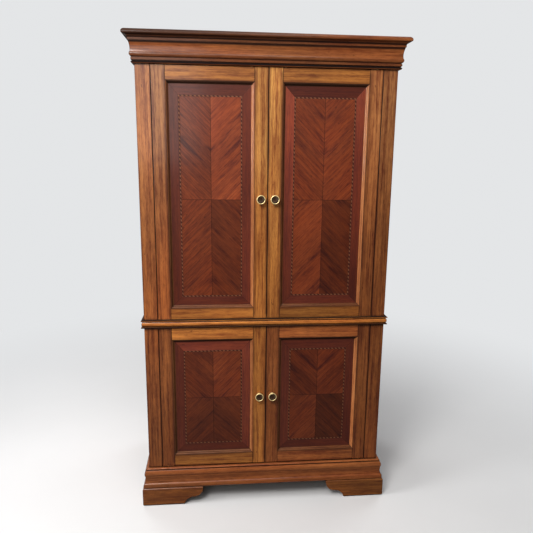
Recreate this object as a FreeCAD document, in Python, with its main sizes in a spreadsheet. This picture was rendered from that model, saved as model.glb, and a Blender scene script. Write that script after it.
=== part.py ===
"""Television armoire in two stages, with four framed doors hung on knife hinges.

The lower case stands on four bracket feet under a moulded base. The upper case is screwed down on
the lower one behind a waist moulding, and carries a mitred crown. Every door is a frame of two
stiles and two rails round a flat veneered panel, with a mitred sticking moulding, a turned knob
and two pivot leaves.

Frame: millimetres, +X to the right as seen from the front, -Y towards the viewer, +Z up. The
origin is on the floor, midway across the width and midway between the crown's nose and the back.
"""
import FreeCAD, Part
import math
import os
import Sketcher

doc = FreeCAD.newDocument("Armoire")

# ---------------------------------------------------------------------------------------------
# Driving dimensions, in millimetres
# ---------------------------------------------------------------------------------------------
DIMENSIONS = [
    ("case_width", 1080, "width over the case sides"),
    ("case_depth", 568, "front face of the face frame to the back of the case"),
    ("crown_overhang", 42, "crown's nose beyond the case, front and sides"),
    ("foot_height", 88, "floor to the underside of the cases"),
    ("base_height", 93, "height of the base moulding"),
    ("lower_door_height", 675, "height of a lower door"),
    ("upper_door_height", 1063.5, "height of an upper door"),
    ("crown_height", 124, "height of the crown moulding"),
    ("crown_stand", 20, "crown's top above the top of the upper case"),
    ("crown_foot", 8, "crown's foot beyond the case"),
    ("crown_bead", 4, "radius of the bead at the crown's foot"),
    ("crown_neck", 5, "plain neck over the crown's bead"),
    ("crown_fillet", 4, "crown's lower fillet beyond its neck"),
    ("crown_fillet_height", 8, "crown's lower fillet"),
    ("crown_quirk", 1.5, "quirk under the frieze, beyond the neck"),
    ("crown_quirk_height", 3, "quirk under the frieze"),
    ("crown_roll", 5, "rolled foot of the frieze, beyond the quirk"),
    ("crown_roll_height", 18, "rolled foot of the frieze"),
    ("crown_roll_rise", 5.2, "rolled foot of the frieze, off its chord"),
    ("crown_hollow_rise", 2.6, "hollow of the frieze, off its chord"),
    ("crown_plain", 4, "plain band at the top of the frieze"),
    ("crown_upper_fillet", 3, "crown's upper fillet beyond the frieze"),
    ("crown_upper_fillet_height", 6, "crown's upper fillet"),
    ("crown_cove", 14, "radius of the cove under the crown's nose"),
    ("crown_step", 1, "flat between the cove and the crown's nose"),
    ("crown_nose_under", 5, "radius of the crown's nose, underneath"),
    ("crown_nose", 14, "radius of the crown's nose, on top"),
    ("waist_overhang", 12.5, "waist moulding's lips beyond the case"),
    ("waist_lip", 2.75, "radius of the waist moulding's lips"),
    ("waist_quirk", 5.5, "foot of the waist's bead beyond the case"),
    ("waist_quirk_height", 1.5, "flat beside the waist's bead"),
    ("waist_bead_rise", 4.8, "waist's bead, off its chord"),
    ("base_overhang", 25.5, "base moulding's lip beyond the case"),
    ("base_lip", 3.5, "radius of the base's lip, underneath"),
    ("base_lip_height", 15, "height of the base's lip"),
    ("base_shoulder", 6, "rounded shoulder over the lip, back from it"),
    ("base_shoulder_height", 8, "rounded shoulder over the base's lip"),
    ("base_shoulder_rise", 1.5, "rounded shoulder, off its chord"),
    ("base_neck", 18, "base's neck beyond the case"),
    ("base_neck_height", 6, "flat under the base's torus"),
    ("base_hollow_rise", 1.95, "hollow under the base's neck, off its chord"),
    ("base_torus_height", 29, "base's torus"),
    ("base_torus_rise", 3.8, "base's torus, off its chord"),
    ("base_torus_back", 2, "torus's top edge behind its foot"),
    ("base_quirk", 11, "base's top bead beyond the case"),
    ("base_quirk_height", 1.5, "flat under the base's top bead"),
    ("base_bead", 3.25, "radius of the base's top bead"),
    ("side_thick", 20, "case sides"),
    ("frame_thick", 22, "face frame and its rails"),
    ("case_stile_width", 60, "face frame stile"),
    ("deck_thick", 18, "the two boards that meet between the cases"),
    ("floor_thick", 20, "floor board of the lower case"),
    ("ceiling_thick", 20, "ceiling board of the upper case"),
    ("dust_thick", 6, "dust board over the upper case"),
    ("back_thick", 8, "back panels"),
    ("back_lap", 10, "rebate that a back panel sits in, sideways"),
    ("door_thick", 22, "thickness of a door frame"),
    ("top_gap", 2, "clearance over a door"),
    ("waist_gap", 2.5, "clearance under an upper door"),
    ("base_gap", 4, "clearance under a lower door"),
    ("hinge_gap", 2.5, "clearance between a door and the case stile"),
    ("meeting_gap", 2.5, "clearance between the two doors of a pair"),
    ("hinge_stile_width", 56, "face of a door's hinge stile"),
    ("meeting_stile_width", 57.5, "face of a door's meeting stile"),
    ("upper_top_rail", 57.5, "top rail of an upper door"),
    ("upper_bottom_rail", 47.8, "bottom rail of an upper door"),
    ("lower_top_rail", 57.5, "top rail of a lower door"),
    ("lower_bottom_rail", 53.5, "bottom rail of a lower door"),
    ("arris_round", 0.8, "rounding of the front arrises"),
    ("edge_round", 2, "rounding of a door's hinge edge"),
    ("panel_thick", 8, "door panel"),
    ("panel_set_back", 12, "panel's face behind the door's face"),
    ("groove_depth", 6, "groove in stiles and rails for the panel"),
    ("sticking_width", 13.5, "sticking moulding across its face"),
    ("sticking_set_back", 1, "top of the sticking moulding behind the door's face"),
    ("sticking_flat", 1.5, "flat at the sticking moulding's outer edge"),
    ("sticking_round", 5, "ovolo radius of the sticking moulding"),
    ("sticking_step", 1, "step between ovolo and cove"),
    ("sticking_cove", 5, "cove radius of the sticking moulding"),
    ("knob_offset", 30, "knob centre from the middle of the case"),
    ("upper_knob_height", 1428, "upper knob centre above the floor"),
    ("lower_knob_height", 528, "lower knob centre above the floor"),
    ("knob_radius", 19, "rim of the knob's head"),
    ("knob_projection", 27, "knob's rim in front of the door"),
    ("knob_foot_radius", 11, "foot of the knob against the stile"),
    ("knob_foot_height", 1.5, "edge of the knob's foot"),
    ("knob_neck_radius", 6.5, "neck of the knob"),
    ("knob_edge", 6, "edge of the knob's head, from its rim back to the hollow behind it"),
    ("knob_edge_round", 1.5, "rounded back of the knob's edge"),
    ("knob_rim_width", 4, "raised rim round the dished face"),
    ("knob_dish_depth", 4.5, "depth of the dished face behind the rim"),
    ("knob_screw_radius", 2, "shank of the knob's screw"),
    ("knob_screw_reach", 9, "screw inside the knob"),
    ("knob_head_radius", 4.5, "head of the knob's screw"),
    ("knob_head_height", 2.5, "head of the knob's screw"),
    ("screw_play", 0.2, "play of a screw in a through hole, on the radius"),
    ("pivot_inset", 24, "pivot axis from the door's hinge edge"),
    ("pivot_radius", 3, "pivot pin"),
    ("pivot_play", 0.05, "play of the pivot pin, on the radius"),
    ("pivot_end_play", 0.2, "pin's end short of the leaf's far face"),
    ("leaf_width", 14, "pivot leaves and plates"),
    ("leaf_thick", 2.5, "pivot leaves and plates"),
    ("leaf_clear", 1, "leaf's square end short of the stile's groove"),
    ("washer_radius", 6, "thrust washer under a door"),
    ("catch_offset", 70, "ball catch from the middle of the case"),
    ("catch_radius", 4.5, "barrel of a ball catch"),
    ("catch_depth", 14, "barrel of a ball catch, in the rail"),
    ("catch_ball", 3, "ball radius of a ball catch"),
    ("catch_reach", 2.6, "ball below the rail"),
    ("recess_radius", 3.5, "recess in the door for the ball"),
    ("recess_depth", 1.2, "recess in the door for the ball"),
    ("stop_width", 16, "door stop batten"),
    ("stop_height", 12, "door stop batten"),
    ("stop_half_length", 400, "half the length of a door stop batten"),
    ("shelf_thick", 18, "shelves"),
    ("shelf_set_back", 45, "shelf's front edge behind the door's back"),
    ("shelf_side_play", 1.5, "shelf's end clear of the case side"),
    ("shelf_back_play", 6, "shelf's back edge clear of the back panel"),
    ("upper_shelf_height", 1640, "underside of the component shelf"),
    ("lower_shelf_height", 500, "underside of the lower shelf"),
    ("pin_radius", 2.5, "shelf pin"),
    ("pin_length", 18, "shelf pin, end to end"),
    ("pin_bore_depth", 10, "shelf pin hole"),
    ("pin_play", 0.1, "play of a shelf pin in its hole, on the radius"),
    ("pin_pitch", 40, "rows of shelf pin holes"),
    ("pin_front", 70, "front pin behind the shelf's front edge"),
    ("pin_back", 60, "rear pin ahead of the shelf's back edge"),
    ("slot_length", 140, "cable slot, end to end"),
    ("slot_width", 50, "cable slot"),
    ("upper_slot_height", 990, "centre of the cable slots behind the television"),
    ("upper_slot_offset", 240, "those slots from the middle"),
    ("shelf_slot_height", 1790, "centre of the cable slot above the shelf"),
    ("lower_slot_height", 780, "centre of the lower case's cable slot"),
    ("screw_radius", 2.5, "joining screw between the cases"),
    ("screw_head_radius", 5, "joining screw's head, sunk flush"),
    ("screw_head_height", 2.5, "joining screw's head, sunk flush"),
    ("screw_length", 32, "joining screw, head included"),
    ("screw_side_offset", 380, "joining screws from the middle"),
    ("screw_front_inset", 90, "front joining screws behind the face frame's face"),
    ("screw_back_inset", 90, "rear joining screws ahead of the back"),
    ("foot_overhang", 31, "foot's face beyond the case"),
    ("foot_thick", 22, "foot boards"),
    ("foot_front_reach", 278, "front foot board along the front"),
    ("foot_side_reach", 215, "foot board along the side"),
    ("foot_tip_inset", 88, "bracket's tip on the floor, short of the board's reach"),
    ("foot_upper_arc", 40, "convex part of the bracket's ogee"),
    ("foot_top_round", 6, "rounded top edge of a foot"),
    ("foot_bottom_round", 8, "rounded bottom edge of a foot"),
    ("foot_block", 50, "square glue block inside a foot"),
    ("foot_brace_reach", 130, "rear brace board of a rear foot"),
    ("foot_brace_tip", 50, "rear brace's length on the floor"),
]


class Size:
    """A length that knows its value and the sheet expression that gives it."""

    def __init__(self, value, text):
        self.value = value
        self.text = text

    def __add__(self, other):
        other = as_size(other)
        return Size(self.value + other.value, "(%s + %s)" % (self.text, other.text))

    def __radd__(self, other):
        return as_size(other) + self

    def __sub__(self, other):
        other = as_size(other)
        return Size(self.value - other.value, "(%s - %s)" % (self.text, other.text))

    def __rsub__(self, other):
        return as_size(other) - self

    def __mul__(self, factor):
        factor = as_size(factor)
        return Size(self.value * factor.value, "(%s * %s)" % (self.text, factor.text))

    def __rmul__(self, factor):
        return as_size(factor) * self

    def __truediv__(self, divisor):
        divisor = as_size(divisor)
        return Size(self.value / divisor.value, "(%s / %s)" % (self.text, divisor.text))

    def __neg__(self):
        return self * -1


def as_size(number):
    """A plain number as a Size; a Size stays as it is."""
    if isinstance(number, Size):
        return number
    return Size(float(number), "(%r)" % float(number))


def root(size):
    """Square root of a Size."""
    return Size(math.sqrt(size.value), "sqrt(%s)" % size.text)


def make_sheet():
    """Write the driving dimensions into the document's spreadsheet."""
    sheet = doc.addObject("Spreadsheet::Sheet", "Dimensions")
    for row, (alias, value, note) in enumerate(DIMENSIONS, start=1):
        sheet.set("A%d" % row, alias)
        sheet.set("B%d" % row, str(value))
        sheet.set("C%d" % row, note)
        sheet.setAlias("B%d" % row, alias)
    doc.recompute()
    return {alias: Size(float(value), "Dimensions.%s" % alias) for alias, value, note in DIMENSIONS}


D = make_sheet()

# ---------------------------------------------------------------------------------------------
# Places that several pieces share
# ---------------------------------------------------------------------------------------------
half_width = D["case_width"] / 2
face = (D["crown_overhang"] - D["case_depth"]) / 2
back = (D["crown_overhang"] + D["case_depth"]) / 2
frame_back = face + D["frame_thick"]
back_front = back - D["back_thick"]
side_inner = half_width - D["side_thick"]
opening_half = half_width - D["case_stile_width"]
back_half = side_inner + D["back_lap"]

case_bottom = D["foot_height"]
base_top = case_bottom + D["base_height"]
lower_door_bottom = base_top + D["base_gap"]
lower_door_top = lower_door_bottom + D["lower_door_height"]
waist_bottom = lower_door_top + D["top_gap"]
lower_case_top = waist_bottom + D["deck_thick"]
waist_top = lower_case_top + D["deck_thick"]
upper_door_bottom = waist_top + D["waist_gap"]
upper_door_top = upper_door_bottom + D["upper_door_height"]
crown_bottom = upper_door_top + D["top_gap"]
crown_top = crown_bottom + D["crown_height"]
upper_case_top = crown_top - D["crown_stand"]

door_back = face + D["door_thick"]
door_outer = opening_half - D["hinge_gap"]
door_inner = D["meeting_gap"] / 2
hinge_arris = door_outer - D["hinge_stile_width"]
meeting_arris = door_inner + D["meeting_stile_width"]
panel_front = face + D["panel_set_back"]
panel_back = panel_front + D["panel_thick"]
pivot_x = door_outer - D["pivot_inset"]
pivot_y = face + D["door_thick"] / 2
leaf_end = hinge_arris + D["groove_depth"] + D["leaf_clear"]
shelf_front = door_back + D["shelf_set_back"]
shelf_back = back_front - D["shelf_back_play"]

PIN_ROWS = 5  # holes in each column, with the shelf on the middle one
LEFT, RIGHT = -1, 1
LEFT_TURN, RIGHT_TURN = 1, -1
SIDES = (("left", LEFT), ("right", RIGHT))
nodes = {}


# ---------------------------------------------------------------------------------------------
# Modelling helpers
# ---------------------------------------------------------------------------------------------
def bind(thing, path, size):
    """Tie one property of an object to the sheet."""
    thing.setExpression(path, as_size(size).text)


def origin_feature(body, role):
    """A body's own origin plane or axis."""
    return next(feature for feature in body.Origin.OriginFeatures if feature.Role == role)


def draw_outline(sketch, outline):
    """Close a sketch through its corners: (x, y) ends a line, (x, y, radius, turn) ends an arc."""
    corners = [(as_size(corner[0]), as_size(corner[1])) for corner in outline]
    for index, corner in enumerate(outline):
        start, end = corners[index - 1], corners[index]
        ends = [(start, 1), (end, 2)]
        if len(corner) == 2:
            line = Part.LineSegment(
                FreeCAD.Vector(start[0].value, start[1].value), FreeCAD.Vector(end[0].value, end[1].value)
            )
            number = sketch.addGeometry(line, False)
        else:
            radius, turn = as_size(corner[2]), corner[3]
            dx, dy = end[0].value - start[0].value, end[1].value - start[1].value
            chord = math.hypot(dx, dy)
            rise = math.sqrt(max(radius.value**2 - chord**2 / 4, 0.0)) * turn
            centre = FreeCAD.Vector(
                (start[0].value + end[0].value) / 2 - dy / chord * rise,
                (start[1].value + end[1].value) / 2 + dx / chord * rise,
            )
            first, last = (start, end) if turn == LEFT_TURN else (end, start)
            angles = [math.atan2(p[1].value - centre.y, p[0].value - centre.x) for p in (first, last)]
            circle = Part.Circle(centre, FreeCAD.Vector(0, 0, 1), radius.value)
            number = sketch.addGeometry(Part.ArcOfCircle(circle, *angles), False)
            ends = [(first, 1), (last, 2)]
            place = sketch.addConstraint(Sketcher.Constraint("Radius", number, radius.value))
            bind(sketch, "Constraints[%d]" % place, radius)
        for (x, y), position in ends:
            for kind, size in (("DistanceX", x), ("DistanceY", y)):
                place = sketch.addConstraint(Sketcher.Constraint(kind, -1, 1, number, position, size.value))
                bind(sketch, "Constraints[%d]" % place, size)


def draw_circle(sketch, x, y, radius):
    """One constrained circle."""
    x, y, radius = as_size(x), as_size(y), as_size(radius)
    centre = FreeCAD.Vector(x.value, y.value)
    number = sketch.addGeometry(Part.Circle(centre, FreeCAD.Vector(0, 0, 1), radius.value), False)
    for constraint, size in (
        (Sketcher.Constraint("Radius", number, radius.value), radius),
        (Sketcher.Constraint("DistanceX", -1, 1, number, 3, x.value), x),
        (Sketcher.Constraint("DistanceY", -1, 1, number, 3, y.value), y),
    ):
        bind(sketch, "Constraints[%d]" % sketch.addConstraint(constraint), size)


def arc_to(start, end, rise, turn):
    """The corner that ends an arc from start to end, whose middle stands so far off the chord."""
    run, climb = as_size(end[0]) - start[0], as_size(end[1]) - start[1]
    radius = ((run * run + climb * climb) / 4 + rise * rise) / (2 * rise)
    return (*end, radius, turn)


def add_sketch(body, plane, level, shape):
    """A sketch parallel to one of the body's origin planes, at a level along the plane's axis.

    The XZ plane's normal is -Y, so its offset is the level turned round.
    """
    sketch = body.newObject("Sketcher::SketchObject", body.Label + "_sketch")
    sketch.AttachmentSupport = [(origin_feature(body, plane + "_Plane"), "")]
    sketch.MapMode = "FlatFace"
    bind(sketch, "AttachmentOffset.Base.z", -as_size(level) if plane == "XZ" else level)
    if callable(shape):
        shape(sketch)
    else:
        draw_outline(sketch, shape)
    return sketch


def pad(label, plane, shape, low, high):
    """A new body: one outline raised from low to high along the plane's axis."""
    body = doc.addObject("PartDesign::Body", label)
    body.Label = label
    add_to(body, plane, shape, low, high)
    return body


def add_to(body, plane, shape, low, high):
    """Raise one more outline on a body."""
    sketch = add_sketch(body, plane, high if plane == "XZ" else low, shape)
    feature = body.newObject("PartDesign::Pad", body.Label + "_pad")
    feature.Profile = sketch
    bind(feature, "Length", as_size(high) - low)


def cut(body, plane, shape, low, high):
    """Cut an outline out of a body, between low and high along the plane's axis."""
    sketch = add_sketch(body, plane, low if plane == "XZ" else high, shape)
    feature = body.newObject("PartDesign::Pocket", body.Label + "_pocket")
    feature.Profile = sketch
    bind(feature, "Length", as_size(high) - low)
    return feature


def rectangle(x_low, y_low, x_high, y_high):
    """Corners of a rectangle, anticlockwise."""
    return [(x_low, y_low), (x_high, y_low), (x_high, y_high), (x_low, y_high)]


def circle(x, y, radius):
    """A circle to be drawn in a sketch."""
    return lambda sketch: draw_circle(sketch, x, y, radius)


def spread(side, near, far):
    """Low and high X of a span that lies on the given side of the middle."""
    return (near, far) if side == RIGHT else (-as_size(far), -as_size(near))


def soften(body, radius, chosen):
    """Round the edges of a body that the test picks."""
    doc.recompute()
    tip = body.Tip
    names = ["Edge%d" % (i + 1) for i, edge in enumerate(tip.Shape.Edges) if chosen(edge)]
    feature = body.newObject("PartDesign::Fillet", body.Label + "_round")
    feature.Base = (tip, names)
    bind(feature, "Radius", radius)


def lies_at(edge, **levels):
    """Whether both ends of an edge are at the given x, y or z."""
    return all(
        abs(getattr(vertex, axis) - as_size(level).value) < 1e-3
        for vertex in (edge.Vertexes[0], edge.Vertexes[-1])
        for axis, level in (("X", levels.get("x")), ("Y", levels.get("y")), ("Z", levels.get("z")))
        if level is not None
    )


def runs_along(edge, axis):
    """Whether a straight edge runs along X, Y or Z."""
    ends = [getattr(edge.Vertexes[i], axis) for i in (0, -1)]
    return abs(edge.Length - abs(ends[1] - ends[0])) < 1e-3


def turn(label, plane, outline, x, y, z):
    """A turned body: the outline goes round the plane's own upright axis, then moves to its place."""
    body = doc.addObject("PartDesign::Body", label)
    body.Label = label
    sketch = add_sketch(body, plane, 0, outline)
    feature = body.newObject("PartDesign::Revolution", label + "_turning")
    feature.Profile = sketch
    feature.ReferenceAxis = (sketch, ["V_Axis"])
    feature.Angle = 360
    for axis, place in (("x", x), ("y", y), ("z", z)):
        bind(body, "Placement.Base." + axis, place)
    return body


def keep(name, *members):
    """Name a node: one body, or several separate pieces of one set."""
    if len(members) == 1:
        nodes[name] = members[0]
        return
    group = doc.addObject("Part::Compound", name)
    group.Label = name
    group.Links = list(members)
    nodes[name] = group


# ---------------------------------------------------------------------------------------------
# Boards of the two cases
# ---------------------------------------------------------------------------------------------
def make_side(name, side, low, high, shelf_height):
    """A case side with a rebate for the back panel and two columns of shelf pin holes."""
    body = pad(name, "YZ", rectangle(frame_back, low, back, high), *spread(side, side_inner, half_width))
    cut(body, "YZ", rectangle(back_front, low, back, high), *spread(side, side_inner, back_half))
    bore, bore_end = D["pin_radius"] + D["pin_play"], side_inner + D["pin_bore_depth"]
    column = (PIN_ROWS - 1) * D["pin_pitch"]
    lowest = shelf_height - D["pin_radius"] - column / 2
    for y in (shelf_front + D["pin_front"], shelf_back - D["pin_back"]):
        hole = cut(body, "YZ", circle(y, lowest, bore), *spread(side, side_inner, bore_end))
        rows = body.newObject("PartDesign::LinearPattern", name + "_pin_rows")
        rows.Originals = [hole]
        rows.Direction = (origin_feature(body, "Z_Axis"), [""])
        bind(rows, "Length", column)
        rows.Occurrences = PIN_ROWS
        body.Tip = rows
    keep(name, body)


def make_case_stile(name, side, low, high):
    """A face frame stile, with its two front arrises rounded."""
    body = pad(name, "XY", rectangle(*across(side, opening_half, half_width)), low, high)
    soften(body, D["arris_round"], lambda edge: lies_at(edge, y=face) and runs_along(edge, "Z"))
    keep(name, body)


def across(side, near, far):
    """Rectangle in plan of a face frame member between two distances from the middle."""
    x_low, x_high = spread(side, near, far)
    return x_low, face, x_high, frame_back


def deck_outline():
    """A board that fills the case and runs forward between the stiles to the front face."""
    return [
        (-side_inner, back_front),
        (-side_inner, frame_back),
        (-opening_half, frame_back),
        (-opening_half, face),
        (opening_half, face),
        (opening_half, frame_back),
        (side_inner, frame_back),
        (side_inner, back_front),
    ]


def joining_screw_places():
    """Plan positions of the four screws between the cases."""
    rows = (face + D["screw_front_inset"], back - D["screw_back_inset"])
    return [(side * D["screw_side_offset"], y) for side in (LEFT, RIGHT) for y in rows]


def leaf_outline(side):
    """A pivot leaf in plan: round about the pivot, square at its tail towards the middle."""
    reach = D["leaf_width"] / 2
    x, tail = side * pivot_x, side * leaf_end
    turn_sense = LEFT_TURN if side == RIGHT else RIGHT_TURN
    return [
        (tail, pivot_y - reach),
        (x, pivot_y - reach),
        (x + side * reach, pivot_y, reach, turn_sense),
        (x, pivot_y + reach, reach, turn_sense),
        (tail, pivot_y + reach),
    ]


def let_in_plates(body, low, high):
    """Housings for the two pivot plates that are let into a board or rail."""
    for side in (LEFT, RIGHT):
        cut(body, "XY", leaf_outline(side), low, high)


def let_in_catches(body, level):
    """Bores for the two ball catches above the meeting stiles."""
    for side in (LEFT, RIGHT):
        hole = circle(side * D["catch_offset"], pivot_y, D["catch_radius"])
        cut(body, "XY", hole, level, level + D["catch_depth"])


def make_decks():
    """The lower case's top and the upper case's floor, held together by four screws."""
    lower = pad("lower_top", "XY", deck_outline(), waist_bottom, lower_case_top)
    upper = pad("upper_deck", "XY", deck_outline(), lower_case_top, waist_top)
    screw_tip = waist_top - D["screw_length"]
    screws = []
    for number, (x, y) in enumerate(joining_screw_places(), start=1):
        cut(lower, "XY", circle(x, y, D["screw_radius"]), screw_tip, lower_case_top)
        cut(upper, "XY", circle(x, y, D["screw_radius"]), lower_case_top, waist_top)
        head_level = waist_top - D["screw_head_height"]
        cut(upper, "XY", circle(x, y, D["screw_head_radius"]), head_level, waist_top)
        label = "joining_screw_%d" % number
        screw = pad(label, "XY", circle(x, y, D["screw_radius"]), screw_tip, waist_top)
        add_to(screw, "XY", circle(x, y, D["screw_head_radius"]), head_level, waist_top)
        screws.append(screw)
    let_in_plates(lower, waist_bottom, waist_bottom + D["leaf_thick"])
    let_in_catches(lower, waist_bottom)
    let_in_plates(upper, waist_top - D["leaf_thick"], waist_top)
    keep("lower_top", lower)
    keep("upper_deck", upper)
    keep("joining_screws", *screws)


def make_bottom_rail():
    """The rail under the lower doors, with the plates of their lower pivots let into its top edge."""
    outline = rectangle(-opening_half, case_bottom, opening_half, base_top)
    rail = pad("lower_bottom_rail", "XZ", outline, face, frame_back)
    let_in_plates(rail, base_top - D["leaf_thick"], base_top)
    keep("lower_bottom_rail", rail)


def make_top_rail():
    """The rail over the upper doors, behind the crown."""
    outline = rectangle(-opening_half, crown_bottom, opening_half, upper_case_top)
    rail = pad("upper_top_rail", "XZ", outline, face, frame_back)
    let_in_plates(rail, crown_bottom, crown_bottom + D["leaf_thick"])
    let_in_catches(rail, crown_bottom)
    keep("upper_top_rail", rail)


def slot_outline(x, z):
    """A cable slot: two straight sides and two round ends."""
    straight = (D["slot_length"] - D["slot_width"]) / 2
    end = D["slot_width"] / 2
    return [
        (x + straight, z - end),
        (x + straight + end, z, end, LEFT_TURN),
        (x + straight, z + end, end, LEFT_TURN),
        (x - straight, z + end),
        (x - straight - end, z, end, LEFT_TURN),
        (x - straight, z - end, end, LEFT_TURN),
    ]


def make_back(name, low, high, slots):
    """A back panel in its rebates, with rounded slots for cables."""
    panel = pad(name, "XZ", rectangle(-back_half, low, back_half, high), back_front, back)
    for x, z in slots:
        cut(panel, "XZ", slot_outline(x, z), back_front, back)
    keep(name, panel)


def make_shelf(name, height):
    """An adjustable shelf with a softened front edge."""
    end = side_inner - D["shelf_side_play"]
    outline = rectangle(-end, shelf_front, end, shelf_back)
    shelf = pad(name, "XY", outline, height, height + D["shelf_thick"])
    soften(shelf, D["edge_round"], lambda edge: lies_at(edge, y=shelf_front) and runs_along(edge, "X"))
    keep(name, shelf)


def make_shelf_pins():
    """Eight turned pins, four under each shelf."""
    pins = []
    outer_end = side_inner + D["pin_bore_depth"] - D["pin_play"]
    inner_end = outer_end - D["pin_length"]
    for height in (D["upper_shelf_height"], D["lower_shelf_height"]):
        for side in (LEFT, RIGHT):
            for y in (shelf_front + D["pin_front"], shelf_back - D["pin_back"]):
                outline = circle(y, height - D["pin_radius"], D["pin_radius"])
                label = "shelf_pin_%d" % (len(pins) + 1)
                pins.append(pad(label, "YZ", outline, *spread(side, inner_end, outer_end)))
    keep("shelf_pins", *pins)


def make_cases():
    """Sides, face frames, boards, backs, shelves and the door stops."""
    stages = (
        ("lower", case_bottom, lower_case_top, D["lower_shelf_height"]),
        ("upper", lower_case_top, upper_case_top, D["upper_shelf_height"]),
    )
    for stage, low, high, shelf_height in stages:
        for word, side in SIDES:
            make_side("%s_%s_side" % (stage, word), side, low, high, shelf_height)
            make_case_stile("%s_%s_case_stile" % (stage, word), side, low, high)
        make_shelf(stage + "_shelf", shelf_height)
    inside = rectangle(-side_inner, frame_back, side_inner, back_front)
    over = rectangle(-half_width, face, half_width, back)
    for name, outline, low, thick in (
        ("lower_floor", inside, base_top - D["floor_thick"], D["floor_thick"]),
        ("upper_ceiling", inside, crown_bottom, D["ceiling_thick"]),
        ("dust_board", over, upper_case_top, D["dust_thick"]),
    ):
        keep(name, pad(name, "XY", outline, low, low + thick))
    make_bottom_rail()
    make_top_rail()
    make_decks()
    lower_slots = [(as_size(0), D["lower_slot_height"])]
    make_back("lower_back", base_top - D["floor_thick"], lower_case_top, lower_slots)
    upper_slots = [(side * D["upper_slot_offset"], D["upper_slot_height"]) for side in (LEFT, RIGHT)]
    upper_slots.append((as_size(0), D["shelf_slot_height"]))
    make_back("upper_back", lower_case_top, upper_case_top, upper_slots)
    make_shelf_pins()
    stops = []
    reach = D["stop_half_length"]
    for stage, level in (("lower", waist_bottom), ("upper", crown_bottom)):
        outline = rectangle(-reach, door_back, reach, door_back + D["stop_width"])
        stops.append(pad(stage + "_door_stop", "XY", outline, level - D["stop_height"], level))
    keep("door_stops", *stops)


# ---------------------------------------------------------------------------------------------
# Mouldings round the outside: a section is (distance out from the case, height above its foot)
# ---------------------------------------------------------------------------------------------
def crown_section():
    """Bead, neck, fillet, rolled frieze, second fillet, cove and rounded nose, from the doors up."""
    out, top, foot, bead = D["crown_overhang"], D["crown_height"], D["crown_foot"], D["crown_bead"]
    nose, under, cove = D["crown_nose"], D["crown_nose_under"], D["crown_cove"]
    neck_top = 2 * bead + D["crown_neck"]
    fillet_top = neck_top + D["crown_fillet_height"]
    quirk, quirk_top = foot + D["crown_quirk"], fillet_top + D["crown_quirk_height"]
    nose_foot = top - nose - under
    cove_foot = nose_foot - cove
    upper_fillet = out - under - D["crown_step"] - cove
    frieze, frieze_top = upper_fillet - D["crown_upper_fillet"], cove_foot - D["crown_upper_fillet_height"]
    rolled = (quirk + D["crown_roll"], quirk_top + D["crown_roll_height"])
    return [
        (0, 0),
        (foot, 0),
        (foot + bead, bead, bead, LEFT_TURN),
        (foot, 2 * bead, bead, LEFT_TURN),
        (foot, neck_top),
        (foot + D["crown_fillet"], neck_top),
        (foot + D["crown_fillet"], fillet_top),
        (quirk, fillet_top),
        (quirk, quirk_top),
        arc_to((quirk, quirk_top), rolled, D["crown_roll_rise"], LEFT_TURN),
        arc_to(rolled, (frieze, frieze_top - D["crown_plain"]), D["crown_hollow_rise"], RIGHT_TURN),
        (frieze, frieze_top),
        (upper_fillet, frieze_top),
        (upper_fillet, cove_foot),
        (upper_fillet + cove, nose_foot, cove, RIGHT_TURN),
        (out - under, nose_foot),
        (out, nose_foot + under, under, LEFT_TURN),
        (out - nose, top, nose, LEFT_TURN),
        (0, top),
    ]


def waist_section():
    """Two thin lips with a bead between them."""
    top, out, lip, quirk = 2 * D["deck_thick"], D["waist_overhang"], D["waist_lip"], D["waist_quirk"]
    bead_low = 2 * lip + D["waist_quirk_height"]
    bead_high = top - bead_low
    return [
        (0, 0),
        (out - lip, 0),
        (out, lip, lip, LEFT_TURN),
        (out - lip, 2 * lip, lip, LEFT_TURN),
        (quirk, 2 * lip),
        (quirk, bead_low),
        arc_to((quirk, bead_low), (quirk, bead_high), D["waist_bead_rise"], LEFT_TURN),
        (quirk, top - 2 * lip),
        (out - lip, top - 2 * lip),
        (out, top - lip, lip, LEFT_TURN),
        (out - lip, top, lip, LEFT_TURN),
        (0, top),
    ]


def base_section():
    """Lip, rounded shoulder, hollow, torus and a small bead on top."""
    top, out, lip, bead = D["base_height"], D["base_overhang"], D["base_lip"], D["base_bead"]
    neck, quirk = D["base_neck"], D["base_quirk"]
    shoulder_low = (out, D["base_lip_height"])
    shoulder_high = (out - D["base_shoulder"], D["base_lip_height"] + D["base_shoulder_height"])
    torus_top = top - 2 * bead - D["base_quirk_height"]
    torus_low = torus_top - D["base_torus_height"]
    hollow_high = (neck, torus_low - D["base_neck_height"])
    torus_high = (neck - D["base_torus_back"], torus_top)
    return [
        (0, 0),
        (out - lip, 0),
        (out, lip, lip, LEFT_TURN),
        shoulder_low,
        arc_to(shoulder_low, shoulder_high, D["base_shoulder_rise"], LEFT_TURN),
        arc_to(shoulder_high, hollow_high, D["base_hollow_rise"], RIGHT_TURN),
        (neck, torus_low),
        arc_to((neck, torus_low), torus_high, D["base_torus_rise"], LEFT_TURN),
        (quirk, torus_top),
        (quirk, top - 2 * bead),
        (quirk + bead, top - bead, bead, LEFT_TURN),
        (quirk, top, bead, LEFT_TURN),
        (0, top),
    ]


def mirrored(outline):
    """The same outline with its arcs bent for a mirror image."""
    return [corner[:2] if len(corner) == 2 else corner[:3] + (-corner[3],) for corner in outline]


def shifted(section, out, foot, side):
    """A section set out from the case on the given side, with its arcs turned to suit."""
    outline = [(out + side * corner[0], foot + corner[1], *corner[2:]) for corner in section]
    return outline if side == RIGHT else mirrored(outline)


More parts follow.
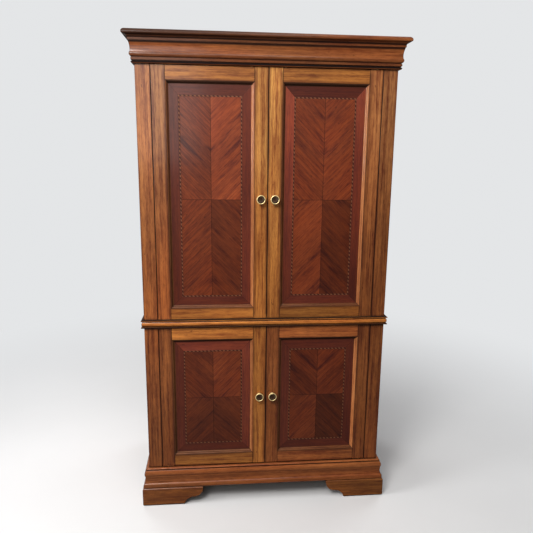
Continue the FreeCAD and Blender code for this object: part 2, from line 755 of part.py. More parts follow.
def make_surround(name, section, foot, reach):
    """One moulding on the front and both sides of the case, mitred at the front corners."""
    far = half_width + reach
    front = pad(name + "_front", "YZ", shifted(section, face, foot, LEFT), -far, far)
    top = foot + section[-1][1]
    for side in (LEFT, RIGHT):
        corner = [(side * half_width, face), (side * far, face - reach), (side * far, face)]
        cut(front, "XY", corner, foot, top)
    pieces = [front]
    for word, side in SIDES:
        outline = shifted(section, side * half_width, foot, side)
        piece = pad("%s_%s" % (name, word), "XZ", outline, face - reach, back)
        corner = [(side * half_width, face), (side * half_width, face - reach), (side * far, face - reach)]
        cut(piece, "XY", corner, foot, top)
        pieces.append(piece)
    keep(name, *pieces)


def bracket_outline(outer, toward, reach):
    """A bracket foot board in elevation: square at the corner, ogee from its tip to the apron.

    outer is the corner's place along the board, and toward is +1 or -1, away from the corner.
    """
    arc, height = D["foot_upper_arc"], D["foot_height"]
    end = outer + toward * reach
    tip = end - toward * D["foot_tip_inset"]
    middle = end - toward * arc
    run = D["foot_tip_inset"] - arc
    lower_arc = (run * run + arc * arc) / (2 * arc)
    convex, hollow = (LEFT_TURN, RIGHT_TURN) if toward == LEFT else (RIGHT_TURN, LEFT_TURN)
    return [
        (outer, 0),
        (outer, height),
        (end, height),
        (end, 2 * arc),
        (middle, arc, arc, convex),
        (tip, 0, lower_arc, hollow),
    ]


def round_foot_edges(board, **outside):
    """Round the outer top and bottom edges of a foot board."""
    soften(board, D["foot_top_round"], lambda edge: lies_at(edge, z=D["foot_height"], **outside))
    soften(board, D["foot_bottom_round"], lambda edge: lies_at(edge, z=0, **outside))


def make_foot(name, side, at_front):
    """A bracket foot: a side board, a front or rear board, and a glue block in the corner."""
    out, thick = D["foot_overhang"], D["foot_thick"]
    outer_x, inner_x = half_width + out, half_width + out - thick
    outer_y, inner_y = face - out, face - out + thick
    away = RIGHT if at_front else LEFT
    side_end = outer_y if at_front else back
    outline = bracket_outline(side_end, away, D["foot_side_reach"])
    side_board = pad(name + "_side_board", "YZ", outline, *spread(side, inner_x, outer_x))
    round_foot_edges(side_board, x=side * outer_x)
    if at_front:
        outline = bracket_outline(side * outer_x, -side, D["foot_front_reach"])
        cross_board = pad(name + "_front_board", "XZ", outline, outer_y, inner_y)
        round_foot_edges(cross_board, y=outer_y)
        corners = (side * outer_x, outer_y), (side * inner_x, inner_y)
        cut(side_board, "XY", [*corners, (side * inner_x, outer_y)], 0, D["foot_height"])
        cut(cross_board, "XY", [*corners, (side * outer_x, inner_y)], 0, D["foot_height"])
        block_low, block_high = inner_y, inner_y + D["foot_block"]
    else:
        brace_reach, brace_tip = D["foot_brace_reach"], D["foot_brace_tip"]
        outline = [
            (side * inner_x, 0),
            (side * inner_x, D["foot_height"]),
            (side * (inner_x - brace_reach), D["foot_height"]),
            (side * (inner_x - brace_tip), 0),
        ]
        cross_board = pad(name + "_rear_board", "XZ", outline, back - thick, back)
        block_low, block_high = back - thick - D["foot_block"], back - thick
    plan = rectangle(*interleave(spread(side, inner_x - D["foot_block"], inner_x), (block_low, block_high)))
    block = pad(name + "_block", "XY", plan, 0, D["foot_height"])
    keep(name, side_board, cross_board, block)


def interleave(across_span, along_span):
    """Corner order for a rectangle from two spans."""
    return across_span[0], along_span[0], across_span[1], along_span[1]


def make_mouldings_and_feet():
    """Crown, waist, base and the four feet."""
    make_surround("crown_moulding", crown_section(), crown_bottom, D["crown_overhang"])
    make_surround("waist_moulding", waist_section(), waist_bottom, D["waist_overhang"])
    make_surround("base_moulding", base_section(), case_bottom, D["base_overhang"])
    for word, side in SIDES:
        make_foot("front_%s_foot" % word, side, True)
        make_foot("rear_%s_foot" % word, side, False)


# ---------------------------------------------------------------------------------------------
# Doors
# ---------------------------------------------------------------------------------------------
def make_door_stile(name, side, inner, outer, low, high):
    """A full-height stile, grooved on its inner edge, which faces the panel.

    A hinge stile's outer edge is rounded more, and takes the two pivot leaves.
    """
    at_hinge = outer.value > inner.value
    groove_end = inner + D["groove_depth"] * (1 if at_hinge else -1)
    x_low, x_high = spread(side, *((inner, outer) if at_hinge else (outer, inner)))
    stile = pad(name, "XY", rectangle(x_low, face, x_high, door_back), low, high)
    if at_hinge:
        outer_x = side * outer
        soften(stile, D["edge_round"], lambda edge: lies_at(edge, x=outer_x) and runs_along(edge, "Z"))
        soften(stile, D["arris_round"], lambda edge: lies_at(edge, x=side * inner, y=face))
        for level in (low, high - D["leaf_thick"]):
            cut(stile, "XY", leaf_outline(side), level, level + D["leaf_thick"])
    else:
        soften(stile, D["arris_round"], lambda edge: lies_at(edge, y=face) and runs_along(edge, "Z"))
    groove_low, groove_high = spread(side, *((inner, groove_end) if at_hinge else (groove_end, inner)))
    cut(stile, "XY", rectangle(groove_low, panel_front, groove_high, panel_back), low, high)
    return stile


def make_door_rail(name, side, low, high, groove_low, groove_high):
    """A rail with a stub tongue at each end and a groove for the panel."""
    left, right = spread(side, meeting_arris, hinge_arris)
    tongue = D["groove_depth"]
    rail = pad(name, "XZ", rectangle(left, low, right, high), face, door_back)
    soften(rail, D["arris_round"], lambda edge: lies_at(edge, y=face) and runs_along(edge, "X"))
    add_to(rail, "XZ", rectangle(left - tongue, low, right + tongue, high), panel_front, panel_back)
    groove = rectangle(panel_front, groove_low, panel_back, groove_high)
    cut(rail, "YZ", groove, left - tongue, right + tongue)
    return rail


def sticking_section():
    """Section of the sticking moulding: (distance in from the arris, distance behind the face)."""
    top, flat = D["sticking_set_back"], D["sticking_flat"]
    ovolo, step, cove = D["sticking_round"], D["sticking_step"], D["sticking_cove"]
    depth = D["panel_set_back"]
    return [
        (0, depth),
        (0, top),
        (flat, top),
        (flat + ovolo, top + ovolo, ovolo, RIGHT_TURN),
        (flat + ovolo + step, top + ovolo),
        (flat + ovolo + step, depth - cove),
        (flat + ovolo + step + cove, depth, cove, LEFT_TURN),
    ]


def make_sticking(name, side, low, high):
    """Four mitred lengths of sticking moulding between the arrises and the panel."""
    x_low, x_high = spread(side, meeting_arris, hinge_arris)
    width = D["sticking_width"]
    front, behind = face, panel_front
    pieces = []
    for word, x, sense in (("left", x_low, 1), ("right", x_high, -1)):
        outline = [(x + sense * c[0], face + c[1], *c[2:]) for c in sticking_section()]
        if sense == 1:
            outline = mirrored(outline)
        piece = pad("%s_%s" % (name, word), "XY", outline, low, high)
        tip = x + sense * width
        for z, rise in ((low, 1), (high, -1)):
            cut(piece, "XZ", [(x, z), (tip, z), (tip, z + rise * width)], front, behind)
        pieces.append(piece)
    for word, z, sense in (("bottom", low, 1), ("top", high, -1)):
        outline = [(face + c[1], z + sense * c[0], *c[2:]) for c in sticking_section()]
        if sense == -1:
            outline = mirrored(outline)
        piece = pad("%s_%s" % (name, word), "YZ", outline, x_low, x_high)
        tip = z + sense * width
        for x, run in ((x_low, 1), (x_high, -1)):
            cut(piece, "XZ", [(x, z), (x, tip), (x + run * width, tip)], front, behind)
        pieces.append(piece)
    return pieces


def make_knob(name, side, height):
    """A turned brass knob with a raised rim and a dished face, and its screw through the stile.

    The outlines are (radius, distance behind the door's face), so what stands in front is negative.
    """
    radius, reach, rim = D["knob_radius"], D["knob_projection"], D["knob_rim_width"] / 2
    foot, foot_edge, neck = D["knob_foot_radius"], D["knob_foot_height"], D["knob_neck_radius"]
    screw, screw_reach = D["knob_screw_radius"], D["knob_screw_reach"]
    flare = foot - neck
    edge_round = D["knob_edge_round"]
    edge_back = D["knob_edge"] - reach
    hollow = radius - edge_round - neck
    dish_edge, dish_sink = radius - 2 * rim, D["knob_dish_depth"] - rim
    dish_radius = (dish_edge * dish_edge + dish_sink * dish_sink) / (2 * dish_sink)
    profile = [
        (screw, 0),
        (foot, 0),
        (foot, -foot_edge),
        (neck, -foot_edge - flare, flare, LEFT_TURN),
        (neck, edge_back + hollow),
        (neck + hollow, edge_back, hollow, LEFT_TURN),
        (radius, edge_back - edge_round, edge_round, RIGHT_TURN),
        (radius, rim - reach),
        (radius - rim, -reach, rim, RIGHT_TURN),
        (dish_edge, rim - reach, rim, RIGHT_TURN),
        (0, D["knob_dish_depth"] - reach, dish_radius, LEFT_TURN),
        (0, -screw_reach),
        (screw, -screw_reach),
    ]
    place = side * D["knob_offset"], face, height
    head_bottom = D["door_thick"] + D["knob_head_height"]
    shank = [
        (0, -screw_reach),
        (0, head_bottom),
        (D["knob_head_radius"], head_bottom),
        (D["knob_head_radius"], D["door_thick"]),
        (screw, D["door_thick"]),
        (screw, -screw_reach),
    ]
    keep(name, turn(name + "_head", "XY", profile, *place), turn(name + "_screw", "XY", shank, *place))


def make_door(stage, word, side, low, high, bottom_rail, top_rail, knob_height):
    """All the pieces of one door."""
    name = "%s_%s_door" % (stage, word)
    hinge_stile = make_door_stile(name + "_hinge_stile", side, hinge_arris, door_outer, low, high)
    meeting_stile = make_door_stile(name + "_meeting_stile", side, meeting_arris, door_inner, low, high)
    bore = D["knob_screw_radius"] + D["screw_play"]
    cut(meeting_stile, "XZ", circle(side * D["knob_offset"], knob_height, bore), face, door_back)
    recess = circle(side * D["catch_offset"], pivot_y, D["recess_radius"])
    panel_low, panel_high = low + bottom_rail, high - top_rail
    groove = D["groove_depth"]
    rails = [
        make_door_rail(name + "_bottom_rail", side, low, panel_low, panel_low - groove, panel_low),
        make_door_rail(name + "_top_rail", side, panel_high, high, panel_high, panel_high + groove),
    ]
    cut(rails[1], "XY", recess, high - D["recess_depth"], high)
    x_low, x_high = spread(side, meeting_arris - groove, hinge_arris + groove)
    panel_plan = rectangle(x_low, panel_low - groove, x_high, panel_high + groove)
    keep(name + "_hinge_stile", hinge_stile)
    keep(name + "_meeting_stile", meeting_stile)
    keep(name + "_rails", *rails)
    keep(name + "_panel", pad(name + "_panel", "XZ", panel_plan, panel_front, panel_back))
    keep(name + "_sticking", *make_sticking(name + "_sticking", side, panel_low, panel_high))
    make_knob(name + "_knob", side, knob_height)
    leaves = []
    for level, part in ((low, "lower"), (high - D["leaf_thick"], "upper")):
        leaf = pad("%s_%s_leaf" % (name, part), "XY", leaf_outline(side), level, level + D["leaf_thick"])
        hole = circle(side * pivot_x, pivot_y, D["pivot_radius"] + D["pivot_play"])
        cut(leaf, "XY", hole, level, level + D["leaf_thick"])
        leaves.append(leaf)
    keep(name + "_leaves", *leaves)


def make_pivot_plates():
    """Plates with pins, let into the case over and under every door."""
    plates = []
    pin_reach = D["leaf_thick"] - D["pivot_end_play"]
    openings = (
        (base_top, lower_door_bottom, lower_door_top, waist_bottom),
        (waist_top, upper_door_bottom, upper_door_top, crown_bottom),
    )
    for below, door_low, door_high, above in openings:
        for side in (LEFT, RIGHT):
            pin = circle(side * pivot_x, pivot_y, D["pivot_radius"])
            washer = circle(side * pivot_x, pivot_y, D["washer_radius"])
            label = "pivot_plate_%d" % (len(plates) + 1)
            plate = pad(label, "XY", leaf_outline(side), below - D["leaf_thick"], below)
            add_to(plate, "XY", washer, below, door_low)
            add_to(plate, "XY", pin, door_low, door_low + pin_reach)
            plates.append(plate)
            label = "pivot_plate_%d" % (len(plates) + 1)
            plate = pad(label, "XY", leaf_outline(side), above, above + D["leaf_thick"])
            add_to(plate, "XY", pin, door_high - pin_reach, above)
            plates.append(plate)
    keep("pivot_plates", *plates)


def make_ball_catches():
    """Barrel and ball of each catch, let up into the rail over a meeting stile."""
    ball, reach = D["catch_ball"], D["catch_reach"]
    mouth = root(ball * ball - (ball - reach) * (ball - reach))
    outline = [
        (0, -reach),
        (mouth, 0, ball, LEFT_TURN),
        (D["catch_radius"], 0),
        (D["catch_radius"], D["catch_depth"]),
        (0, D["catch_depth"]),
    ]
    catches = [
        turn("%s_%s_catch" % (stage, word), "XZ", outline, side * D["catch_offset"], pivot_y, level)
        for stage, level in (("lower", waist_bottom), ("upper", crown_bottom))
        for word, side in SIDES
    ]
    keep("ball_catches", *catches)


def make_doors():
    """Four doors, and the pivots and catches that hold them."""
    for word, side in SIDES:
        make_door(
            "lower", word, side, lower_door_bottom, lower_door_top,
            D["lower_bottom_rail"], D["lower_top_rail"], D["lower_knob_height"],
        )
        make_door(
            "upper", word, side, upper_door_bottom, upper_door_top,
            D["upper_bottom_rail"], D["upper_top_rail"], D["upper_knob_height"],
        )
    make_pivot_plates()
    make_ball_catches()


# ---------------------------------------------------------------------------------------------
# Build, check and write
# ---------------------------------------------------------------------------------------------
def check_and_write():
    """Stop on a failed object or shape, then write one STEP file for each node."""
    failed = [thing.Name for thing in doc.Objects if {"Invalid", "Error"} & set(thing.State)]
    if failed:
        raise RuntimeError("failed objects: %s" % ", ".join(failed))
    for name, thing in nodes.items():
        if thing.Shape.isNull() or not thing.Shape.isValid() or not thing.Shape.Solids:
            raise RuntimeError("bad shape: %s" % name)
    os.makedirs("parts", exist_ok=True)
    for name, thing in nodes.items():
        thing.Shape.exportStep("parts/%s.step" % name)


make_cases()
make_mouldings_and_feet()
make_doors()
doc.recompute()
check_and_write()
print("%d nodes" % len(nodes))
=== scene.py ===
"""Television armoire: stained timber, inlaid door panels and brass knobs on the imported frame.

Every size is in metres. +X is to the right of a person who faces the doors, -Y comes towards them.
"""
import math
import random

import bmesh
import bpy
from mathutils import Matrix, Vector


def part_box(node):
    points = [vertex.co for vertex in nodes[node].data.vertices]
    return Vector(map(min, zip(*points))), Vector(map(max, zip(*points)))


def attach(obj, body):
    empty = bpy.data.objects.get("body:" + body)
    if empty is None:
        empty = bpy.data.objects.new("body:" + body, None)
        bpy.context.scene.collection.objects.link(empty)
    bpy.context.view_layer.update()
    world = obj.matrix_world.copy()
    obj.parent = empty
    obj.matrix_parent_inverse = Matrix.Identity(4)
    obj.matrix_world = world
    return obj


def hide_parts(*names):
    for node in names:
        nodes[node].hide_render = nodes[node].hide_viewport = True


bl_info = {
    "name": "Television Armoire",
    "version": (1, 0, 0),
    "blender": (4, 5, 0),
    "location": "View3D > Sidebar > Armoire",
    "description": "Finishes, inlaid door panels and brass knobs of a two-stage armoire",
    "category": "Object",
}

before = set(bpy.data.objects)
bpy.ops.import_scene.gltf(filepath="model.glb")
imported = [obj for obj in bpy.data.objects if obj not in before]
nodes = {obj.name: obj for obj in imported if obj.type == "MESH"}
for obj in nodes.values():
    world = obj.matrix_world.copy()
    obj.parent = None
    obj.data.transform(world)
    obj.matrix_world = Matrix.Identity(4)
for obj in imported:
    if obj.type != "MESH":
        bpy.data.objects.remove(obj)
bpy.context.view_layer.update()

STAGES = ("lower", "upper")
HANDS = ("left", "right")
DOORS = tuple("%s_%s_door" % (stage, hand) for stage in STAGES for hand in HANDS)
CASE_SIDE_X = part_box("upper_right_case_stile")[1].x
FACE_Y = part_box("upper_right_case_stile")[0].y
STICKING_WIDTH = 0.0135
SENSOR_WIDTH = 36


# ---------------------------------------------------------------------------------------------
# What a user may change
# ---------------------------------------------------------------------------------------------
def colour_field(label, default):
    """A colour that a user can pick."""
    return bpy.props.FloatVectorProperty(
        name=label, description=label, default=default, size=3, min=0, max=1, subtype="COLOR"
    )


def length_field(label, default):
    """A length that a user can set."""
    return bpy.props.FloatProperty(name=label, description=label, default=default, min=0, unit="LENGTH")


def number_field(label, default, low=0.0, high=1000.0):
    """A plain number that a user can set."""
    return bpy.props.FloatProperty(name=label, description=label, default=default, min=low, max=high)


class TimberColours(bpy.types.PropertyGroup):
    """Stain of every timber: the early wood is the light part of the grain, the late wood the dark part."""

    frame_early: colour_field("Rails and meeting stiles, early wood", (0.56, 0.214, 0.043))
    frame_late: colour_field("Rails and meeting stiles, late wood", (0.17, 0.042, 0.010))
    stile_early: colour_field("Outer stiles, early wood", (0.42, 0.136, 0.035))
    stile_late: colour_field("Outer stiles, late wood", (0.105, 0.022, 0.008))
    moulding_early: colour_field("Crown, waist and base, early wood", (0.314, 0.102, 0.028))
    moulding_late: colour_field("Crown, waist and base, late wood", (0.11, 0.026, 0.008))
    foot_early: colour_field("Feet, early wood", (0.38, 0.130, 0.029))
    foot_late: colour_field("Feet, late wood", (0.10, 0.024, 0.007))
    side_early: colour_field("Case sides, early wood", (0.35, 0.12, 0.032))
    side_late: colour_field("Case sides, late wood", (0.14, 0.036, 0.011))
    sticking_early: colour_field("Moulding round the panels, early wood", (0.42, 0.150, 0.042))
    sticking_late: colour_field("Moulding round the panels, late wood", (0.17, 0.045, 0.013))
    veneer_early: colour_field("Diagonal leaves, early wood", (0.262, 0.0545, 0.0145))
    veneer_late: colour_field("Diagonal leaves, late wood", (0.059, 0.009, 0.006))
    border_early: colour_field("Borders of the panels, early wood", (0.121, 0.0242, 0.0098))
    border_late: colour_field("Borders of the panels, late wood", (0.056, 0.011, 0.008))
    interior_early: colour_field("Boards inside the cases, early wood", (0.42, 0.21, 0.085))
    interior_late: colour_field("Boards inside the cases, late wood", (0.24, 0.10, 0.036))
    back_early: colour_field("Back panels and dust board, early wood", (0.40, 0.25, 0.13))
    back_late: colour_field("Back panels and dust board, late wood", (0.26, 0.14, 0.065))


class FinishSettings(bpy.types.PropertyGroup):
    """Glaze, painted shade and lacquer."""

    # The glaze colour darkens the joints and is also the painted shade in corners, recesses and gaps; its
    # reach is how far the painted shade spreads out of a corner.
    glaze: colour_field("Dark glaze left in corners and joints", (0.0066, 0.0018, 0.0011))
    corner_shade_reach: length_field("How far the glaze reaches out of a corner", 0.012)
    edge_shading_reach: length_field("How far the shading reaches in from an edge", 0.014)
    roughness: number_field("Roughness under the clear coat", 0.42, 0, 1)
    gloss: number_field("Specular level under the clear coat", 0.22, 0, 1)
    coat: number_field("Weight of the clear coat", 0.45, 0, 1)
    moulding_gloss: number_field("Specular level of the mouldings under the clear coat", 0.14, 0, 1)
    moulding_coat: number_field("Weight of the clear coat on the mouldings", 0.60, 0, 1)
    coat_roughness: number_field("Roughness of the clear coat", 0.14, 0, 1)


class InlaySettings(bpy.types.PropertyGroup):
    """Inlay of a door panel."""

    side_border: length_field("Border at the sides and bottom, from the moulding to the stringing", 0.0395)
    top_border: length_field("Border along the top, from the moulding to the stringing", 0.045)
    stringing: length_field("Width of the stringing", 0.0055)
    pitch: length_field("Repeat of the light and dark blocks", 0.017)
    joint: length_field("Glue line round each leaf", 0.0004)
    joint_depth: length_field("Depth of the glue line", 0.00015)
    light_block: colour_field("Light blocks of the stringing", (0.20, 0.074, 0.036))
    dark_block: colour_field("Dark blocks of the stringing", (0.044, 0.011, 0.007))


class KnobSettings(bpy.types.PropertyGroup):
    """Brass of the knobs, and the relief in their dish."""

    petals: bpy.props.IntProperty(name="Petals", description="Petals in the dish", default=12, min=3, max=24)
    relief: length_field("Height of the petals", 0.0009)
    brass: colour_field("Polished brass", (1.0, 0.78, 0.38))
    patina: colour_field("Patina in the dish", (0.026, 0.0090, 0.0048))


class StageSettings(bpy.types.PropertyGroup):
    """Camera, lights and floor."""

    lens: number_field("Focal length in millimetres on a 36 mm sensor", 36.02, 1, 200)
    eye: bpy.props.FloatVectorProperty(
        name="Eye", description="Place of the camera", default=(-0.21172, -2.5445, 1.6160), unit="LENGTH"
    )
    turn: bpy.props.FloatVectorProperty(
        name="Turn", description="Pitch, roll and yaw of the camera",
        default=(-0.20712, -0.0107818, -0.0916334), unit="ROTATION",
    )
    key: number_field("Power of the light from the upper left", 64)
    window: number_field("Power of the window on the left", 55)
    sheen: number_field("Power of the weak light that shines in the lacquer", 28)
    ceiling: number_field("Power of the light over the viewer", 44)
    overhead: number_field("Power of the light overhead", 20)
    behind: number_field("Power of each light behind the cases", 38)
    sky: number_field("Strength of the surrounding light", 0.06)
    backdrop: number_field("Brightness of the empty background", 0.80, 0, 1)
    floor: colour_field("Floor", (0.80, 0.80, 0.81))
    bounce: number_field("Share of the floor's paleness that lights the cases", 0.14, 0, 1)


# ---------------------------------------------------------------------------------------------
# Building blocks of materials
# ---------------------------------------------------------------------------------------------
def place(tree, kind, inputs=None, **settings):
    """A node with its settings made and its inputs set or linked."""
    node = tree.nodes.new(kind)
    for name, value in settings.items():
        setattr(node, name, value)
    for key, value in (inputs or {}).items():
        if isinstance(value, bpy.types.NodeSocket):
            tree.links.new(value, node.inputs[key])
        else:
            node.inputs[key].default_value = value
    return node


def calc(tree, operation, first, second=0.0, clamp=False):
    """A sum on one or two values."""
    inputs = {0: first, 1: second}
    return place(tree, "ShaderNodeMath", inputs, operation=operation, use_clamp=clamp).outputs[0]


def times(tree, first, second):
    """One value times another."""
    return calc(tree, "MULTIPLY", first, second)


def plus(tree, first, second, clamp=False):
    """Two values added, and kept from 0 to 1 if clamped."""
    return calc(tree, "ADD", first, second, clamp)


def minus(tree, first, second):
    """One value less another."""
    return calc(tree, "SUBTRACT", first, second)


def apart(tree, first, second):
    """How far apart two values are."""
    return calc(tree, "ABSOLUTE", minus(tree, first, second))


def least(tree, first, second):
    """The smaller of two values."""
    return calc(tree, "MINIMUM", first, second)


def most(tree, first, second):
    """The larger of two values."""
    return calc(tree, "MAXIMUM", first, second)


def vector_calc(tree, operation, first, second):
    """A sum on two vectors."""
    return place(tree, "ShaderNodeVectorMath", {0: first, 1: second}, operation=operation).outputs[0]


def ramp(tree, value, low, high, low_result=0.0, high_result=1.0):
    """A value eased from one range to another."""
    inputs = {0: value, 1: low, 2: high, 3: low_result, 4: high_result}
    return place(tree, "ShaderNodeMapRange", inputs, interpolation_type="SMOOTHSTEP").outputs[0]


def blend(tree, share, first, second, mode="MIX"):
    """Two colours mixed."""
    inputs = {0: share, 6: first, 7: second}
    return place(tree, "ShaderNodeMix", inputs, data_type="RGBA", blend_type=mode).outputs[2]


def shaded(tree, colour, shade):
    """A colour made lighter or darker by a value."""
    grey = place(tree, "ShaderNodeCombineXYZ", {0: shade, 1: shade, 2: shade}).outputs[0]
    return blend(tree, 1.0, colour, grey, "MULTIPLY")


def noise(tree, position, across, along, detail=2.0, roughness=0.5):
    """Noise drawn out along the grain; across and along are repeats in each metre."""
    at = vector_calc(tree, "MULTIPLY", position, (across, across, along))
    inputs = {"Vector": at, "Scale": 1.0, "Detail": detail, "Roughness": roughness}
    return place(tree, "ShaderNodeTexNoise", inputs).outputs[0]


def openness(tree, reach):
    """How open a point is to what is round it: 1 on a flat face, less in a hollow."""
    return place(tree, "ShaderNodeAmbientOcclusion", {"Distance": reach}, samples=8).outputs["AO"]


def new_group(name, inputs, outputs):
    """An empty node group with named sockets, and its input and output sockets."""
    tree = bpy.data.node_groups.new(name, "ShaderNodeTree")
    for label, kind in inputs.items():
        tree.interface.new_socket(label, in_out="INPUT", socket_type="NodeSocket" + kind)
    for label, kind in outputs.items():
        tree.interface.new_socket(label, in_out="OUTPUT", socket_type="NodeSocket" + kind)
    return tree, tree.nodes.new("NodeGroupInput").outputs, tree.nodes.new("NodeGroupOutput").inputs


# Marks in the timber: repeats in each metre across and along the grain, detail and roughness of their
# noise, and the levels between which a mark grows from nothing to full.
GRAIN_MARKS = {
    "streaks": (70, 2.5, 5, 0.65, 0.40, 0.64),
    "flames": (26, 4.5, 3, 0.55, 0.53, 0.68),
    "lines": (190, 3.5, 3, 0.6, 0.40, 0.62),
    "figure": (130, 26, 3, 0.7, 0.42, 0.62),
    "fibres": (420, 9, 3, 0.5, 0.3, 0.7),
    "mottle": (24, 12, 3, 0.5, 0.3, 0.7),
    "pores": (1100, 30, 1, 0.5, 0.58, 0.70),
    "flecks": (75, 38, 1, 0.5, 0.76, 0.80),
    "clouds": (5, 1.6, 2, 0.5, 0.3, 0.7),
    "redness": (9, 2.2, 2, 0.5, 0.4, 0.66),
}


def grain_mark(tree, position, name):
    """One of the marks in the timber."""
    across, along, detail, roughness, low, high = GRAIN_MARKS[name]
    return ramp(tree, noise(tree, position, across, along, detail, roughness), low, high)


def stained_timber_group():
    """Figure, pores, stain, glaze and painted shade of a board whose grain runs along Z of its position."""
    inputs = {
        "Position": "Vector",
        "Edge Distance": "Float",
        "Joint Distance": "Float",
        "Added Glaze And Shade": "Float",
        "Early Wood": "Color",
        "Late Wood": "Color",
        "Glaze": "Color",
        "Ring Width": "Float",
        "Ring Strength": "Float",
        "Streak Strength": "Float",
        "Flame Strength": "Float",
        "Pore Strength": "Float",
        "Glaze And Shade Amount": "Float",
        "Corner Shade Reach": "Float",
        "Edge Shading Reach": "Float",
        "Tone": "Float",
        "Lacquer": "Float",
        "Coat": "Float",
    }
    outputs = {"Color": "Color", "Roughness": "Float", "Coat": "Float", "Normal": "Vector"}
    tree, given, made = new_group("Stained Timber", inputs, outputs)
    position = given["Position"]

    drawn_out = vector_calc(tree, "MULTIPLY", position, (1, 1, 0.07))
    sway = place(tree, "ShaderNodeTexNoise", {"Vector": drawn_out, "Scale": 9.0, "Detail": 3.0}).outputs[1]
    sway = vector_calc(tree, "SUBTRACT", sway, (0.5, 0.5, 0.5))
    sway = vector_calc(tree, "MULTIPLY", sway, (0.07, 0.07, 0))
    ring_inputs = {
        "Vector": vector_calc(tree, "ADD", drawn_out, sway),
        "Scale": calc(tree, "DIVIDE", math.pi / 10, given["Ring Width"]),
    }
    rings = place(tree, "ShaderNodeTexWave", ring_inputs, wave_type="RINGS", rings_direction="Z").outputs[1]
    marks = {name: grain_mark(tree, position, name) for name in GRAIN_MARKS}

    late_shares = (
        (rings, given["Ring Strength"]),
        (marks["streaks"], given["Streak Strength"]),
        (marks["flames"], given["Flame Strength"]),
        (marks["lines"], 0.22),
        (marks["figure"], 0.20),
        (marks["fibres"], 0.14),
        (marks["mottle"], 0.12),
    )
    late = 0.0
    for mark, share in late_shares:
        late = plus(tree, late, times(tree, mark, share), clamp=True)
    colour = blend(tree, late, given["Early Wood"], given["Late Wood"])
    dark = blend(tree, 0.6, given["Late Wood"], given["Glaze"])
    colour = blend(tree, times(tree, marks["pores"], given["Pore Strength"]), colour, dark)
    colour = blend(tree, times(tree, marks["flecks"], 0.5), colour, dark)
    redder = blend(tree, 1.0, colour, (0.95, 0.86, 0.80, 1), "MULTIPLY")
    colour = blend(tree, marks["redness"], colour, redder)
    shade = times(tree, ramp(tree, marks["clouds"], 0, 1, 0.85, 1.12), given["Tone"])
    colour = shaded(tree, colour, shade)

    # Shading along the edges, in patches, then dark glaze in the joints, painted shade in the corners, darker
    # the more closed in they are, and the glaze and painted shade added in bands by the caller.
    patchy = ramp(tree, noise(tree, position, 16, 5, 3), 0.28, 0.66, 0.25, 1.0)
    edge = ramp(tree, given["Edge Distance"], 0.0, given["Edge Shading Reach"], 0.95, 0.0)
    edge = times(tree, times(tree, edge, patchy), given["Glaze And Shade Amount"])
    colour = blend(tree, edge, colour, blend(tree, 0.35, given["Late Wood"], given["Glaze"]))
    joint = ramp(tree, given["Joint Distance"], 0.0003, 0.0014, 0.85, 0.0)
    # Painted shade: corners are darkened by how little open room is round them, as if shade fell there.
    corner = ramp(tree, openness(tree, given["Corner Shade Reach"]), 0.45, 0.97, 1.0, 0.0)
    corner = times(tree, corner, given["Glaze And Shade Amount"])
    glaze_and_shade = most(tree, given["Added Glaze And Shade"], most(tree, joint, corner))
    colour = blend(tree, glaze_and_shade, colour, given["Glaze"])
    tree.links.new(colour, made["Color"])

    # Pores, fibres, glaze and painted shade are duller than the lacquer, and glaze and painted shade take no
    # clear coat.
    dull = plus(tree, times(tree, marks["pores"], 0.18), times(tree, marks["fibres"], 0.08))
    dull = plus(tree, dull, times(tree, glaze_and_shade, 0.35))
    tree.links.new(plus(tree, given["Lacquer"], dull), made["Roughness"])
    bare = times(tree, glaze_and_shade, glaze_and_shade)
    shine = times(tree, given["Coat"], minus(tree, 1.0, bare))
    tree.links.new(shine, made["Coat"])
    height = minus(tree, times(tree, marks["fibres"], 0.4), marks["pores"])
    height = minus(tree, height, times(tree, joint, 2.0))
    bump = place(tree, "ShaderNodeBump", {"Strength": 0.25, "Distance": 0.0002, "Height": height})
    tree.links.new(bump.outputs[0], made["Normal"])


def new_material(name):
    """An empty material, its tree and its shader."""
    material = bpy.data.materials.new(name)
    material.use_nodes = True
    tree = material.node_tree
    tree.nodes.clear()
    shader = tree.nodes.new("ShaderNodeBsdfPrincipled")
    output = tree.nodes.new("ShaderNodeOutputMaterial")
    tree.links.new(shader.outputs[0], output.inputs[0])
    return material, tree, shader


def object_point(tree):
    """Object coordinates as one vector."""
    return place(tree, "ShaderNodeTexCoord").outputs["Object"]


def split(tree, vector):
    """A vector as three values."""
    return place(tree, "ShaderNodeSeparateXYZ", {0: vector}).outputs


# Ring width, then the strengths of rings, streaks, flames and pores.
PLAIN_FIGURE = (0.006, 0.10, 0.42, 0.0, 0.6)
LIVELY_FIGURE = (0.018, 0.30, 0.45, 0.1, 0.6)
LEAF_FIGURE = (0.045, 0.10, 0.20, 0.32, 0.5)
BORDER_FIGURE = (0.020, 0.08, 0.30, 0.15, 0.5)
PLY_FIGURE = (0.030, 0.55, 0.25, 0.0, 0.4)

# A distance from an edge or a joint that no shading reaches.
FAR = 1.0

# Roughness of the boards that have no lacquer.
BARE_ROUGHNESS = 0.62


